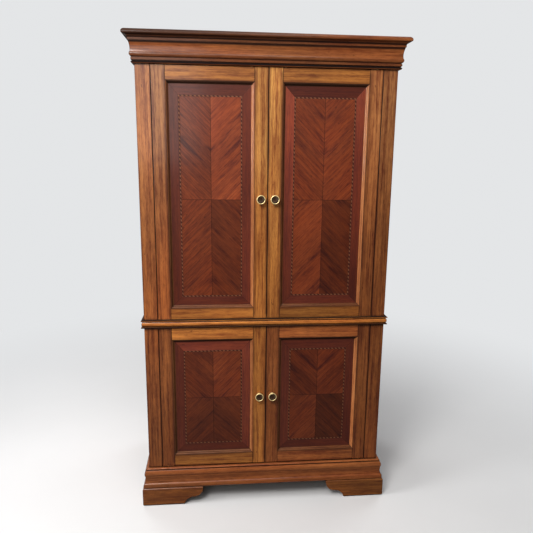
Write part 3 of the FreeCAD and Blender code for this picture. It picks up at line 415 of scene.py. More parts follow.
def dress(
    tree, shader, position, key, tone=1.0, glaze=0.9, figure=PLAIN_FIGURE, edge=FAR, joint=FAR, recess=0.0,
    lacquered=True,
):
    """Finish a timber material whose board position is known."""
    colours, finish = bpy.context.scene.armoire_timber, bpy.context.scene.armoire_finish
    ring_width, rings, streaks, flames, pores = figure
    inputs = {
        "Position": position,
        "Edge Distance": edge,
        "Joint Distance": joint,
        "Added Glaze And Shade": recess,
        "Early Wood": (*getattr(colours, key + "_early"), 1),
        "Late Wood": (*getattr(colours, key + "_late"), 1),
        "Glaze": (*finish.glaze, 1),
        "Ring Width": ring_width,
        "Ring Strength": rings,
        "Streak Strength": streaks,
        "Flame Strength": flames,
        "Pore Strength": pores,
        "Glaze And Shade Amount": glaze,
        "Corner Shade Reach": finish.corner_shade_reach,
        "Edge Shading Reach": finish.edge_shading_reach,
        "Tone": tone,
        "Lacquer": finish.roughness if lacquered else BARE_ROUGHNESS,
        "Coat": finish.coat,
    }
    group = place(tree, "ShaderNodeGroup", inputs, node_tree=bpy.data.node_groups["Stained Timber"])
    tree.links.new(group.outputs["Color"], shader.inputs["Base Color"])
    tree.links.new(group.outputs["Roughness"], shader.inputs["Roughness"])
    if lacquered:
        tree.links.new(group.outputs["Coat"], shader.inputs["Coat Weight"])
    tree.links.new(group.outputs["Normal"], shader.inputs["Normal"])
    shader.inputs["Specular IOR Level"].default_value = finish.gloss
    shader.inputs["Coat Roughness"].default_value = finish.coat_roughness
    return group


# The order in which a board's axes are taken, so that the one along the grain comes last.
GRAIN_ORDER = {"X": "YZX", "Y": "XZY", "Z": "XYZ"}


def board_position(tree, parts, along, centre, seed):
    """Places within a board, with the grain along Z and the heart of the tree a little way behind it."""
    chance = random.Random(seed)
    pith = Vector((chance.uniform(-0.05, 0.05), chance.uniform(0.05, 0.14), chance.uniform(-3, 3)))
    order = GRAIN_ORDER[along]
    turned = place(tree, "ShaderNodeCombineXYZ", {i: parts[axis] for i, axis in enumerate(order)}).outputs[0]
    middle = Vector([getattr(centre, axis.lower()) for axis in order])
    return vector_calc(tree, "ADD", turned, pith - middle)


def between(tree, value, low, high):
    """Distance in from the nearer of two levels, negative outside them."""
    reach = (high - low) / 2
    off = apart(tree, value, (low + high) / 2)
    return minus(tree, reach, off)


# How light the boards round a pair of doors are: left and right outer stiles, left and right meeting
# stiles, then the bottom and top rails of the left and of the right door.
BOARD_TONES = {
    "upper": ((1.22, 1.05), (1.30, 1.22), (1.11, 0.90), (0.72, 0.84)),
    "lower": ((0.92, 0.91), (1.22, 1.03), (0.93, 1.62), (1.30, 1.58)),
}

# Painted sheen on the uprights of the upper case: how light they are at the foot and at the head.
UPRIGHT_SHEEN = {"left": (0.93, 0.97), "right": (0.78, 1.18)}

# Painted sheen: green and blue of the early wood at the head of an upright, as shares of those at its foot,
# so that the head is paler.
SHEEN_GREEN, SHEEN_BLUE = 1.33, 1.7

# Half the width of the dark line at a joint, on an upright and on a rail.
UPRIGHT_JOINT = 0.0005
RAIL_JOINT = 0.0003

# Shares by which distances from a corner, a gap and a mitre are shortened, so that the shading round
# them spreads.
CORNER_SHARE = 0.8
GAP_SHARE = 0.6
MITRE_SHARE = 0.7


def wear(node_name, material):
    """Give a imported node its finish."""
    nodes[node_name].material_slots[0].material = material


def finish_boards(names, key, along, **looks):
    """Timber for a list of nodes, each with a figure of its own."""
    for name in names:
        material, tree, shader = new_material(name + "_timber")
        low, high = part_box(name)
        parts = split(tree, object_point(tree))
        position = board_position(tree, parts, along, (low + high) / 2, "board " + name)
        dress(tree, shader, position, key, **looks)
        wear(name, material)


def corner_shade(tree, along, across):
    """How far a point is from an opening's corner, as an edge distance."""
    square = plus(tree, times(tree, along, along), times(tree, across, across))
    return times(tree, calc(tree, "SQRT", square), CORNER_SHARE)


def glaze_and_shade_amount(tree, to_end):
    """How much glaze and painted shade a board takes along its edges and in its corners: little at its very
    ends.
    """
    return ramp(tree, to_end, 0.003, 0.024, 0.2, 0.9)


def finish_stile(name, key, tone, opening=None, side=0, gap_x=None, edge_share=1.0):
    """Timber for an upright of a frame: shaded along its edges and round the corners of the opening.

    It has a dark line where the rails meet it, and a wider one of painted shade at the gap between two doors.
    The uprights of the upper case have a painted sheen: lighter and paler towards the top.
    """
    material, tree, shader = new_material(name + "_timber")
    low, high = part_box(name)
    parts = split(tree, object_point(tree))
    position = board_position(tree, parts, "Z", (low + high) / 2, "board " + name)
    to_end = between(tree, parts["Z"], low.z, high.z)
    joint, edge = FAR, calc(tree, "DIVIDE", between(tree, parts["X"], low.x, high.x), edge_share)
    if opening:
        to_joint = apart(tree, parts["X"], opening[side].x)
        to_corner = between(tree, parts["Z"], opening[0].z, opening[1].z)
        joint = minus(tree, to_joint, UPRIGHT_JOINT)
        edge = least(tree, edge, times(tree, to_joint, CORNER_SHARE))
        edge = least(tree, edge, corner_shade(tree, to_joint, to_corner))
    # Painted shade: a wider dark line along the gap between two doors.
    if gap_x is not None:
        to_gap = apart(tree, parts["X"], gap_x)
        joint = least(tree, joint, times(tree, to_gap, GAP_SHARE))
    glaze = glaze_and_shade_amount(tree, to_end)
    group = dress(tree, shader, position, key, tone=tone, glaze=glaze, edge=edge, joint=joint)
    # Painted sheen: the upper uprights grow lighter and paler towards the top, where the lacquer would
    # reflect a pale light.
    if name.startswith("upper"):
        height = ramp(tree, parts["Z"], low.z, high.z, 0.0, 1.0)
        foot_share, head_share = UPRIGHT_SHEEN["left" if low.x + high.x < 0 else "right"]
        tree.links.new(ramp(tree, height, 0, 1, tone * foot_share, tone * head_share), group.inputs["Tone"])
        early = group.inputs["Early Wood"].default_value
        pale = (early[0], early[1] * SHEEN_GREEN, early[2] * SHEEN_BLUE, 1)
        tree.links.new(blend(tree, height, early, pale), group.inputs["Early Wood"])
    wear(name, material)


def finish_rails(door, key, bottom_tone, top_tone):
    """Timber for the two rails of a door: shaded towards the opening and the stiles."""
    name = door + "_rails"
    material, tree, shader = new_material(name + "_timber")
    low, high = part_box(name)
    open_low, open_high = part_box(door + "_sticking")
    parts = split(tree, object_point(tree))
    position = board_position(tree, parts, "X", (low + high) / 2, "board " + name)
    to_joint = between(tree, parts["X"], open_low.x, open_high.x)
    to_opening = times(tree, between(tree, parts["Z"], open_low.z, open_high.z), -1.0)
    to_outside = between(tree, parts["Z"], low.z, high.z)
    edge = least(tree, to_opening, corner_shade(tree, to_joint, to_opening))
    joint = calc(tree, "ABSOLUTE", least(tree, minus(tree, to_joint, RAIL_JOINT), to_opening))
    is_top = calc(tree, "GREATER_THAN", parts["Z"], (low.z + high.z) / 2)
    tone = ramp(tree, is_top, 0, 1, bottom_tone, top_tone)
    glaze = glaze_and_shade_amount(tree, to_outside)
    dress(tree, shader, position, key, edge=edge, joint=joint, tone=tone, glaze=glaze)
    wear(name, material)


def choose(tree, share, first, second):
    """One of two vectors."""
    inputs = {0: share, 4: first, 5: second}
    return place(tree, "ShaderNodeMix", inputs, data_type="VECTOR").outputs[1]


# Bands of dark glaze and painted shade on a moulding, darkest in its hollows, under its nose, rolls and lips
# and in the gaps beside it, where shade falls: foot and top of each band above the moulding's foot, how
# softly the band ends, and how dark it is at the left and at the right end.
WAIST_GLAZE_AND_SHADE = (
    (-0.002, 0.0056, 0.0006, 0.97, 0.97),
    (0.0338, 0.038, 0.0006, 0.97, 0.97),
)
CROWN_GLAZE_AND_SHADE = (
    (0.0022, 0.0112, 0.0006, 1.0, 1.0),
    (0.0130, 0.0210, 0.0010, 0.60, 0.35),
    (0.0205, 0.0280, 0.0030, 0.55, 0.50),
    (0.0280, 0.0420, 0.0040, 0.42, 0.22),
    (0.0758, 0.0858, 0.0040, 0.98, 0.92),
    (0.0850, 0.0915, 0.0006, 0.72, 0.15),
    (0.0915, 0.1005, 0.0040, 0.97, 0.95),
    (0.1000, 0.1300, 0.0020, 0.87, 0.24),
)
BASE_GLAZE_AND_SHADE = (
    (-0.002, 0.053, 0.0040, 0.10, 0.10),
    (0.046, 0.060, 0.0060, 0.20, 0.20),
    (0.0835, 0.0875, 0.0010, 0.15, 0.15),
)


def finish_surround(name, key, bands=(), left_tone_and_light=1.0, right_tone_and_light=1.0):
    """Timber for a moulding on the front and both sides: the grain turns at the mitres, and the bands given
    darken it with glaze and painted shade.
    """
    material, tree, shader = new_material(name + "_timber")
    parts = split(tree, object_point(tree))
    low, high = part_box(name)
    front = Vector((0, FACE_Y, (low.z + high.z) / 2))
    beside = Vector((CASE_SIDE_X, 0, front.z))
    outward = minus(tree, calc(tree, "ABSOLUTE", parts["X"]), CASE_SIDE_X)
    ahead = minus(tree, FACE_Y, parts["Y"])
    on_return = calc(tree, "GREATER_THAN", outward, ahead)
    # Behind the face, on the side alone, the returns have no mitre near them.
    mitre = times(tree, apart(tree, outward, ahead), MITRE_SHARE)
    mitre = plus(tree, mitre, times(tree, calc(tree, "LESS_THAN", ahead, -0.001), FAR))
    position = choose(
        tree,
        on_return,
        board_position(tree, parts, "X", front, name),
        board_position(tree, parts, "Y", beside, name + " return"),
    )
    recess = 0.0
    # Painted shade: each band darkens the moulding towards the glaze colour and takes away its clear coat.
    for band_low, band_high, softness, left, right in bands:
        inside = between(tree, parts["Z"], low.z + band_low, low.z + band_high)
        strength = ramp(tree, parts["X"], low.x, high.x, left, right)
        band = times(tree, ramp(tree, inside, -softness, softness), strength)
        recess = most(tree, recess, band)
    # Painted light: the moulding's tone changes from its left end to its right, set to even out the light
    # that falls from the left.
    tone = ramp(tree, parts["X"], low.x, high.x, left_tone_and_light, right_tone_and_light)
    group = dress(tree, shader, position, key, tone=tone, joint=mitre, recess=recess)
    finish = bpy.context.scene.armoire_finish
    group.inputs["Coat"].default_value = finish.moulding_coat
    shader.inputs["Specular IOR Level"].default_value = finish.moulding_gloss
    wear(name, material)


# Glaze and painted shade on each length of the moulding round a panel, set by the way the length faces the
# light: most on the top length, which faces down, and none on the right one. The right length has a painted
# highlight instead: it is lighter and paler.
STICKING_GLAZE_AND_SHADE = {"bottom": 0.48, "top": 0.88, "left": 0.55, "right": 0.0}
STICKING_HIGHLIGHT = (0.40, 0.160, 0.054, 1)


def finish_sticking(name):
    """Timber for the moulding round a panel: the grain turns at the mitres, and each length takes glaze and
    painted shade by the way it faces.
    """
    material, tree, shader = new_material(name + "_timber")
    parts = split(tree, object_point(tree))
    low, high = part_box(name)
    middle = (low + high) / 2
    to_side = between(tree, parts["X"], low.x, high.x)
    to_end = between(tree, parts["Z"], low.z, high.z)
    is_end = calc(tree, "LESS_THAN", to_end, to_side)
    is_upright = minus(tree, 1.0, is_end)
    on_top = calc(tree, "GREATER_THAN", parts["Z"], middle.z)
    on_right = calc(tree, "GREATER_THAN", parts["X"], middle.x)
    position = choose(
        tree,
        is_end,
        board_position(tree, parts, "Z", middle, name),
        board_position(tree, parts, "X", middle, name + " ends"),
    )
    mitre = times(tree, apart(tree, to_end, to_side), MITRE_SHARE)
    # Painted shade: the top and left lengths, which face away from the light, are darkened most.
    end_glaze_and_shade = ramp(tree, on_top, 0, 1, STICKING_GLAZE_AND_SHADE["bottom"], STICKING_GLAZE_AND_SHADE["top"])
    upright_glaze_and_shade = ramp(tree, on_right, 0, 1, STICKING_GLAZE_AND_SHADE["left"], STICKING_GLAZE_AND_SHADE["right"])
    recess = plus(tree, times(tree, is_end, end_glaze_and_shade), times(tree, is_upright, upright_glaze_and_shade))
    # Painted highlight: the right length, which faces the light from the left, is lighter and paler, with
    # little edge and corner shade.
    right_length = times(tree, on_right, is_upright)
    tone = ramp(tree, right_length, 0, 1, 1.0, 1.45)
    glaze = ramp(tree, right_length, 0, 1, 0.8, 0.15)
    group = dress(tree, shader, position, "sticking", tone=tone, glaze=glaze, joint=mitre, recess=recess)
    early = group.inputs["Early Wood"]
    tree.links.new(blend(tree, right_length, early.default_value, STICKING_HIGHLIGHT), early)
    wear(name, material)


# ---------------------------------------------------------------------------------------------
# Modelling by hand
# ---------------------------------------------------------------------------------------------
def start_shape(add_primitive, name, **placing):
    """Add a primitive with nothing else selected, name it, and go into edit mode with all of it selected."""
    bpy.ops.object.select_all(action="DESELECT")
    add_primitive(**placing)
    shape = bpy.context.active_object
    shape.name = shape.data.name = name
    bpy.ops.object.transform_apply(location=True, rotation=True, scale=True)
    bpy.ops.object.mode_set(mode="EDIT")
    bpy.ops.mesh.select_all(action="SELECT")
    return shape


def pick(shape, kind, test):
    """Select the faces or vertices that pass a test, and nothing else."""
    bpy.ops.mesh.select_all(action="DESELECT")
    bpy.ops.mesh.select_mode(type=kind)
    mesh = bmesh.from_edit_mesh(shape.data)
    for part in mesh.faces if kind == "FACE" else mesh.verts:
        part.select_set(test(part))
    mesh.select_flush_mode()
    bmesh.update_edit_mesh(shape.data)


def copy_shape(shape, name, offset):
    """A copy with a mesh of its own, at another place."""
    bpy.ops.object.select_all(action="DESELECT")
    shape.select_set(True)
    bpy.context.view_layer.objects.active = shape
    bpy.ops.object.duplicate()
    twin = bpy.context.active_object
    twin.name = twin.data.name = name
    bpy.ops.transform.translate(value=offset)
    bpy.ops.object.transform_apply(location=True, rotation=False, scale=False)
    return twin


# ---------------------------------------------------------------------------------------------
# Inlaid door panels
# ---------------------------------------------------------------------------------------------
FIELD_LEAVES = ("top_left", "top_right", "bottom_left", "bottom_right")
BORDER_LEAVES = ("left", "right", "top", "bottom")
STRING_LEAVES = ("string_across", "string_up")
LEAF_NAMES = FIELD_LEAVES + BORDER_LEAVES + STRING_LEAVES

# How light each field and border leaf of a door is, in the order of LEAF_NAMES, and how light the
# stringing and the edges and back of every panel are.
LEAF_TONES = {
    "upper_left_door": (0.92, 1.42, 0.87, 0.66, 1.08, 1.45, 1.10, 1.20),
    "upper_right_door": (1.06, 1.21, 1.12, 0.63, 2.25, 1.88, 0.85, 1.55),
    "lower_left_door": (0.71, 0.98, 0.69, 0.64, 1.32, 2.0, 2.6, 1.05),
    "lower_right_door": (0.72, 0.90, 0.83, 0.43, 1.30, 1.05, 1.42, 1.14),
}
STRINGING_TONE = 1.0
PANEL_EDGE_TONE = 0.8

# How much lighter a door's side borders grow with each metre of height.
BORDER_FADES = {"upper_right_door": 1.1}

# How far into its tree a right leaf was cut behind the left one that it mirrors.
TOP_SAW_STEP, BOTTOM_SAW_STEP = 0.002, 0.003

# How near to a joint the glue line between two leaves counts as being.
GLUE_DISTANCE = 0.0005


def inlay_lines(door):
    """Levels of the inlay on a door: opening, stringing edges and seams, from low to high."""
    inlay = bpy.context.scene.armoire_inlay
    low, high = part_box(door + "_sticking")
    half = inlay.stringing / 2
    lines = {
        "open_x": (low.x + STICKING_WIDTH, high.x - STICKING_WIDTH),
        "open_z": (low.z + STICKING_WIDTH, high.z - STICKING_WIDTH),
    }
    left, right = lines["open_x"][0] + inlay.side_border, lines["open_x"][1] - inlay.side_border
    bottom, top = lines["open_z"][0] + inlay.side_border, lines["open_z"][1] - inlay.top_border
    lines["string_x"] = (left - half, left + half, right - half, right + half)
    lines["string_z"] = (bottom - half, bottom + half, top - half, top + half)
    lines["seam"] = ((left + right) / 2, (bottom + top) / 2)
    return lines


def leaf_at(lines, x, z):
    """Name of the veneer leaf at a point on a panel."""
    (left, in_left, in_right, right), (bottom, in_bottom, in_top, top) = lines["string_x"], lines["string_z"]
    if in_left < x < in_right and in_bottom < z < in_top:
        row = "top" if z > lines["seam"][1] else "bottom"
        return "%s_%s" % (row, "right" if x > lines["seam"][0] else "left")
    if left < x < right and bottom < z < top:
        return "string_up" if in_bottom < z < in_top else "string_across"
    reach = {
        "left": (left - x) / (left - lines["open_x"][0]),
        "right": (x - right) / (lines["open_x"][1] - right),
        "bottom": (bottom - z) / (bottom - lines["open_z"][0]),
        "top": (z - top) / (lines["open_z"][1] - top),
    }
    return max(reach, key=reach.get)


def cut_front(shape, point, normal, test):
    """Cut the front faces whose centre passes a test along a plane."""
    pick(shape, "FACE", lambda face: face.normal.y < -0.5 and test(face.calc_center_median()))
    bpy.ops.mesh.bisect(plane_co=point, plane_no=normal, threshold=1e-6)


def build_panel(door):
    """A veneered panel: four diagonal leaves, a line of stringing, and mitred borders."""
    inlay = bpy.context.scene.armoire_inlay
    low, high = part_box(door + "_panel")
    lines = inlay_lines(door)
    low.y += inlay.joint_depth
    shape = start_shape(
        bpy.ops.mesh.primitive_cube_add, door + "_inlaid_panel",
        size=1, location=(low + high) / 2, scale=high - low,
    )
    for x in lines["string_x"]:
        cut_front(shape, (x, 0, 0), (1, 0, 0), lambda centre: True)
    for z in lines["string_z"]:
        cut_front(shape, (0, 0, z), (0, 0, 1), lambda centre: True)

    def in_field(centre):
        return leaf_at(lines, centre.x, centre.z) in FIELD_LEAVES

    seam_x, seam_z = lines["seam"]
    cut_front(shape, (seam_x, 0, 0), (1, 0, 0), in_field)
    cut_front(shape, (0, 0, seam_z), (0, 0, 1), in_field)

    # Mitres: from each corner of the stringing to the same corner of the opening.
    for i, hand in ((0, -1), (3, 1)):
        for j, rise in ((0, -1), (3, 1)):
            corner = Vector((lines["string_x"][i], 0, lines["string_z"][j]))
            run = Vector((lines["open_x"][i // 3], 0, lines["open_z"][j // 3])) - corner

            def in_corner(centre, corner=corner, hand=hand, rise=rise):
                return (centre.x - corner.x) * hand > 0 and (centre.z - corner.z) * rise > 0

            cut_front(shape, corner, (run.z, 0, -run.x), in_corner)

    # Every leaf stands up from the glue line round it.
    mesh = bmesh.from_edit_mesh(shape.data)
    layer = mesh.faces.layers.int.new("leaf")
    for face in mesh.faces:
        centre = face.calc_center_median()
        face[layer] = LEAF_NAMES.index(leaf_at(lines, centre.x, centre.z)) if face.normal.y < -0.5 else -1
    bmesh.update_edit_mesh(shape.data)
    for number in range(len(LEAF_NAMES)):
        layer = bmesh.from_edit_mesh(shape.data).faces.layers.int["leaf"]
        pick(shape, "FACE", lambda face: face[layer] == number)
        bpy.ops.mesh.inset(thickness=inlay.joint, depth=inlay.joint_depth, use_boundary=True)
    bpy.ops.object.mode_set(mode="OBJECT")
    return shape


def paint_panel(shape, door):
    """The panel's materials, and the map, tone and tree of every leaf."""
    mesh = shape.data
    chance = random.Random("trees " + door)
    trees = [chance.uniform(0, 9) for name in LEAF_NAMES]
    trees[1], trees[3] = trees[0] + TOP_SAW_STEP, trees[2] + BOTTOM_SAW_STEP
    tones = LEAF_TONES[door] + (STRINGING_TONE, STRINGING_TONE)
    seam_x, seam_z = inlay_lines(door)["seam"]
    front = min(vertex.co.y for vertex in mesh.vertices)
    leaves = [value.value for value in mesh.attributes["leaf"].data]
    slots, face_tones, face_trees, joints, fades, grain, centred = [], [], [], [], [], [], []
    for face in mesh.polygons:
        leaf = leaves[face.index]
        name = LEAF_NAMES[leaf] if leaf >= 0 else "left"
        slots.append(0 if name in FIELD_LEAVES else 1 if name in BORDER_LEAVES else 2)
        face_tones.append(tones[leaf] if leaf >= 0 else PANEL_EDGE_TONE)
        face_trees.append(trees[leaf])
        joints.append(float(leaf >= 0 and face.center.y > front + 1e-5))
        fades.append(BORDER_FADES.get(door, 0.0) if leaf >= 0 and name in ("left", "right") else 0.0)
        for corner in face.vertices:
            x, z = mesh.vertices[corner].co.x, mesh.vertices[corner].co.z
            dx, dz = x - seam_x, z - seam_z
            centred += (dx, dz)
            if name in FIELD_LEAVES:
                across, along = abs(dx) - abs(dz), abs(dx) + abs(dz)
                grain += (across * math.sqrt(0.5), along * math.sqrt(0.5))
            elif name in ("top", "bottom", "string_up"):
                grain += (dz, dx)
            else:
                grain += (dx, dz)
    for material in ("diagonal_leaves", "border_leaves", "rope_stringing"):
        mesh.materials.append(bpy.data.materials[material])
    mesh.polygons.foreach_set("material_index", slots)
    for label, values in (("tone", face_tones), ("tree", face_trees), ("joint", joints), ("fade", fades)):
        mesh.attributes.new(label, "FLOAT", "FACE").data.foreach_set("value", values)
    mesh.uv_layers.new(name="Grain").data.foreach_set("uv", grain)
    mesh.uv_layers.new(name="Centred").data.foreach_set("uv", centred)


def attribute(tree, name):
    """A value stored on the faces."""
    return place(tree, "ShaderNodeAttribute", attribute_name=name).outputs["Fac"]


def uv_parts(tree, name):
    """A UV map as values."""
    return split(tree, place(tree, "ShaderNodeUVMap", uv_map=name).outputs[0])


def panel_materials():
    """The leaves, the borders and the stringing: grain runs along V of the Grain map."""
    for name, key, figure in (
        ("diagonal_leaves", "veneer", LEAF_FIGURE),
        ("border_leaves", "border", BORDER_FIGURE),
    ):
        material, tree, shader = new_material(name)
        at, centred = uv_parts(tree, "Grain"), uv_parts(tree, "Centred")
        place_in_tree = {0: at[0], 1: attribute(tree, "tree"), 2: at[1]}
        position = place(tree, "ShaderNodeCombineXYZ", place_in_tree).outputs[0]
        joint = ramp(tree, attribute(tree, "joint"), 0, 1, FAR, GLUE_DISTANCE)
        if name == "diagonal_leaves":
            for offset in (centred[0], centred[1]):
                joint = least(tree, joint, calc(tree, "ABSOLUTE", offset))
        fade = plus(tree, 1.0, times(tree, centred[1], attribute(tree, "fade")))
        tone = times(tree, attribute(tree, "tone"), fade)
        dress(tree, shader, position, key, tone=tone, glaze=0.6, figure=figure, joint=joint)

    inlay = bpy.context.scene.armoire_inlay
    material, tree, shader = new_material("rope_stringing")
    at = uv_parts(tree, "Grain")
    phase = times(tree, plus(tree, at[0], at[1]), math.tau / inlay.pitch)
    blocks = ramp(tree, calc(tree, "SINE", phase), -0.18, 0.18)
    grain = ramp(tree, noise(tree, object_point(tree), 300, 300), 0.3, 0.7, 0.8, 1.1)
    light = shaded(tree, (*inlay.light_block, 1), grain)
    dark = (*inlay.dark_block, 1)
    colour = blend(tree, attribute(tree, "joint"), blend(tree, blocks, dark, light), dark)
    finish = bpy.context.scene.armoire_finish
    tree.links.new(colour, shader.inputs["Base Color"])
    tree.links.new(times(tree, grain, finish.roughness), shader.inputs["Roughness"])
    shader.inputs["Specular IOR Level"].default_value = finish.gloss


# ---------------------------------------------------------------------------------------------
# Knobs
# ---------------------------------------------------------------------------------------------
def arc(centre, radius, start, end, steps):
    """Points of a circle's arc between two angles in degrees, without the first."""
    points = []
    for i in range(1, steps + 1):
        angle = math.radians(start + (end - start) * i / steps)
        points.append((centre[0] + radius * math.cos(angle), centre[1] + radius * math.sin(angle)))
    return points


def knob_outline(radius, reach):
    """Radius and distance ahead of the door along a knob, from its foot to the boss in its dish."""
    foot, foot_edge, flare, neck = 0.011, 0.0015, 0.0045, 0.0065
    edge, edge_round, hollow = 0.006, 0.0015, 0.011
    rim, dish_depth = 0.002, 0.0045
    back = reach - edge
    dish, bottom = radius - 2 * rim, reach - dish_depth
    outline = [(foot, 0.0), (foot, foot_edge)]
    outline += arc((foot, foot_edge + flare), flare, 270, 180, 5)
    outline.append((neck, back - hollow))
    outline += arc((neck + hollow, back - hollow), hollow, 180, 90, 9)
    outline += arc((radius - edge_round, back + edge_round), edge_round, 270, 360, 3)
    outline.append((radius, reach - rim))
    outline += arc((radius - rim, reach - rim), rim, 0, 180, 9)
    for share in (0.93, 0.86, 0.78, 0.68, 0.56, 0.44, 0.32):
        outline.append((dish * share, bottom + (dish_depth - rim) * share * share))
    for share, rise in ((0.24, 0.0002), (0.22, 0.0010), (0.16, 0.0016), (0.06, 0.0019)):
        outline.append((dish * share, bottom + rise))
    return outline


def screw_outline(thickness):
    """Radius and distance ahead of the door along a knob's screw, from inside the knob to its head."""
    shank, head, tip = 0.002, 0.0045, 0.009
    outline = [(shank, tip), (shank, -thickness)]
    for share, rise in ((1.0, 0.0), (1.0, 0.0012), (0.88, 0.0019), (0.62, 0.0024)):
        outline.append((head * share, -thickness - rise))
    return outline


def turn_shape(name, centre, outline, around):
    """Turn an outline about an axis towards the viewer: a disc, extruded and resized step by step."""
    radius, level = outline[0]
    shape = start_shape(
        bpy.ops.mesh.primitive_circle_add, name, vertices=around, radius=radius, fill_type="NGON",
        location=centre - Vector((0, level, 0)), rotation=(math.pi / 2, 0, 0),
    )
    bpy.ops.mesh.select_mode(type="FACE")
    for next_radius, next_level in outline[1:]:
        bpy.ops.mesh.extrude_region_move(TRANSFORM_OT_translate={"value": (0, level - next_level, 0)})
        share = next_radius / radius
        bpy.ops.transform.resize(value=(share, 1, share), center_override=centre)
        radius, level = next_radius, next_level
    return shape


# Half the width and the depth of the slot in a knob's screw.
SLOT_HALF, SLOT_DEPTH = 0.0005, 0.0008

# Steps of a petal: its width as a share of the room it has, and where it starts and ends as shares of
# the knob's radius.
PETAL_STEPS = ((0.80, 0.24, 0.66), (0.55, 0.30, 0.63), (0.30, 0.40, 0.58))

# How far behind the knob's front the dish reaches, with room to spare, and where its petals start.
DISH_REACH, PETAL_REACH = 0.006, 0.0035


def build_knob(name, centre, radius, reach, thickness):
    """A turned knob with petals in relief in its dish, and its slotted screw through the stile."""
    knob = bpy.context.scene.armoire_knob
    shape = turn_shape(name, centre, knob_outline(radius, reach), 8 * knob.petals)
    half_petal = math.pi / knob.petals

    def in_petal(vertex, width, start, end):
        x, z = vertex.co.x - centre.x, vertex.co.z - centre.z
        off_axis = abs((math.atan2(z, x) + half_petal) % (2 * half_petal) - half_petal)
        share = math.hypot(x, z) / radius
        in_dish = vertex.co.y < centre.y - reach + DISH_REACH
        return in_dish and start < share < end and off_axis < width * half_petal

    for width, start, end in PETAL_STEPS:
        pick(shape, "VERT", lambda vertex: in_petal(vertex, width, start, end))
        bpy.ops.transform.translate(value=(0, -knob.relief / len(PETAL_STEPS), 0))
    finish_turning(shape)

    screw = turn_shape(name + "_screw", centre, screw_outline(thickness), 32)

    def is_flat(face):
        return abs(face.normal.y) > 0.9

    def in_slot(face):
        return is_flat(face) and abs(face.calc_center_median().x - centre.x) < 0.8 * SLOT_HALF

    # The slot runs across every flat face of the screw. All but the head's are hidden.
    for side in (-1, 1):
        slot_edge = centre + Vector((side * SLOT_HALF, 0, 0))
        pick(screw, "FACE", is_flat)
        bpy.ops.mesh.bisect(plane_co=slot_edge, plane_no=(1, 0, 0), threshold=1e-6)
    pick(screw, "FACE", in_slot)
    bpy.ops.mesh.extrude_region_move(TRANSFORM_OT_translate={"value": (0, -SLOT_DEPTH, 0)})
    finish_turning(screw)
    bpy.ops.object.select_all(action="DESELECT")
    screw.select_set(True)
    shape.select_set(True)
    bpy.context.view_layer.objects.active = shape
    bpy.ops.object.join()
    mark_patina(shape, centre, radius, reach)
    return shape


def finish_turning(shape):
    """Turn every face outwards and smooth what curves."""
    bpy.ops.mesh.select_all(action="SELECT")
    bpy.ops.mesh.normals_make_consistent(inside=False)
    bpy.ops.object.mode_set(mode="OBJECT")
    bpy.ops.object.shade_smooth_by_angle(angle=math.radians(40))


def mark_patina(shape, centre, radius, reach):
    """Store how much patina each point of a knob keeps: most in the dish, less on the raised petals."""
    marks = []
    for vertex in shape.data.vertices:
        share = math.hypot(vertex.co.x - centre.x, vertex.co.z - centre.z) / radius
        ahead = centre.y - vertex.co.y
        in_dish = ahead > reach - DISH_REACH and share < 0.80
        on_petal = ahead > reach - PETAL_REACH and 0.3 < share < 0.62
        marks.append(0.0 if not in_dish else 0.975 if on_petal else 1.0)
    shape.data.attributes.new("patina", "FLOAT", "POINT").data.foreach_set("value", marks)


def knob_material():
    """Polished on the rim, dark with patina in the dish and in every hollow."""
    knob = bpy.context.scene.armoire_knob
    material, tree, shader = new_material("knob_brass")
    at = object_point(tree)
    mottle = ramp(tree, noise(tree, at, 420, 420, 3), 0.35, 0.65)
    fine = ramp(tree, noise(tree, at, 1400, 1400, 2), 0.3, 0.7)
    hollow = ramp(tree, openness(tree, 0.006), 0.3, 0.85, 0.8, 0.0)
    patina = times(tree, attribute(tree, "patina"), ramp(tree, mottle, 0, 1, 1.0, 0.985))
    dark = most(tree, patina, hollow)
    brass = shaded(tree, (*knob.brass, 1), ramp(tree, fine, 0, 1, 0.92, 1.05))
    brown = shaded(tree, (*knob.patina, 1), ramp(tree, mottle, 0, 1, 0.3, 2.2))
    tree.links.new(blend(tree, dark, brass, brown), shader.inputs["Base Color"])
    tree.links.new(minus(tree, 0.5, times(tree, dark, 0.48)), shader.inputs["Metallic"])
    roughness = plus(tree, ramp(tree, mottle, 0, 1, 0.28, 0.38), times(tree, dark, 0.12))
    tree.links.new(roughness, shader.inputs["Roughness"])
    shader.inputs["Specular IOR Level"].default_value = 0.2
    return material


def metal_material(name, colour, roughness):
    """A brushed metal with fine scratches."""
    material, tree, shader = new_material(name)
    scratches = noise(tree, object_point(tree), 900, 60, 3)
    brushed = shaded(tree, (*colour, 1), ramp(tree, scratches, 0.3, 0.7, 0.86, 1.06))
    scratched = ramp(tree, scratches, 0.3, 0.7, roughness - 0.06, roughness + 0.08)
    tree.links.new(brushed, shader.inputs["Base Color"])
    tree.links.new(scratched, shader.inputs["Roughness"])
    shader.inputs["Metallic"].default_value = 1.0
    return material


# ---------------------------------------------------------------------------------------------
# Operators
# ---------------------------------------------------------------------------------------------
class ARMOIRE_OT_face_frames(bpy.types.Operator):
    """Finish the stiles and rails on the front of both cases"""

    bl_idname = "armoire.face_frames"
    bl_label = "Face frames"

    def execute(self, context):
        for stage in STAGES:
            for hand, tone in zip(HANDS, BOARD_TONES[stage][0]):
                finish_stile("%s_%s_case_stile" % (stage, hand), "stile", tone, edge_share=0.4)
        finish_boards(["lower_bottom_rail", "upper_top_rail"], "stile", "X")
        return {"FINISHED"}


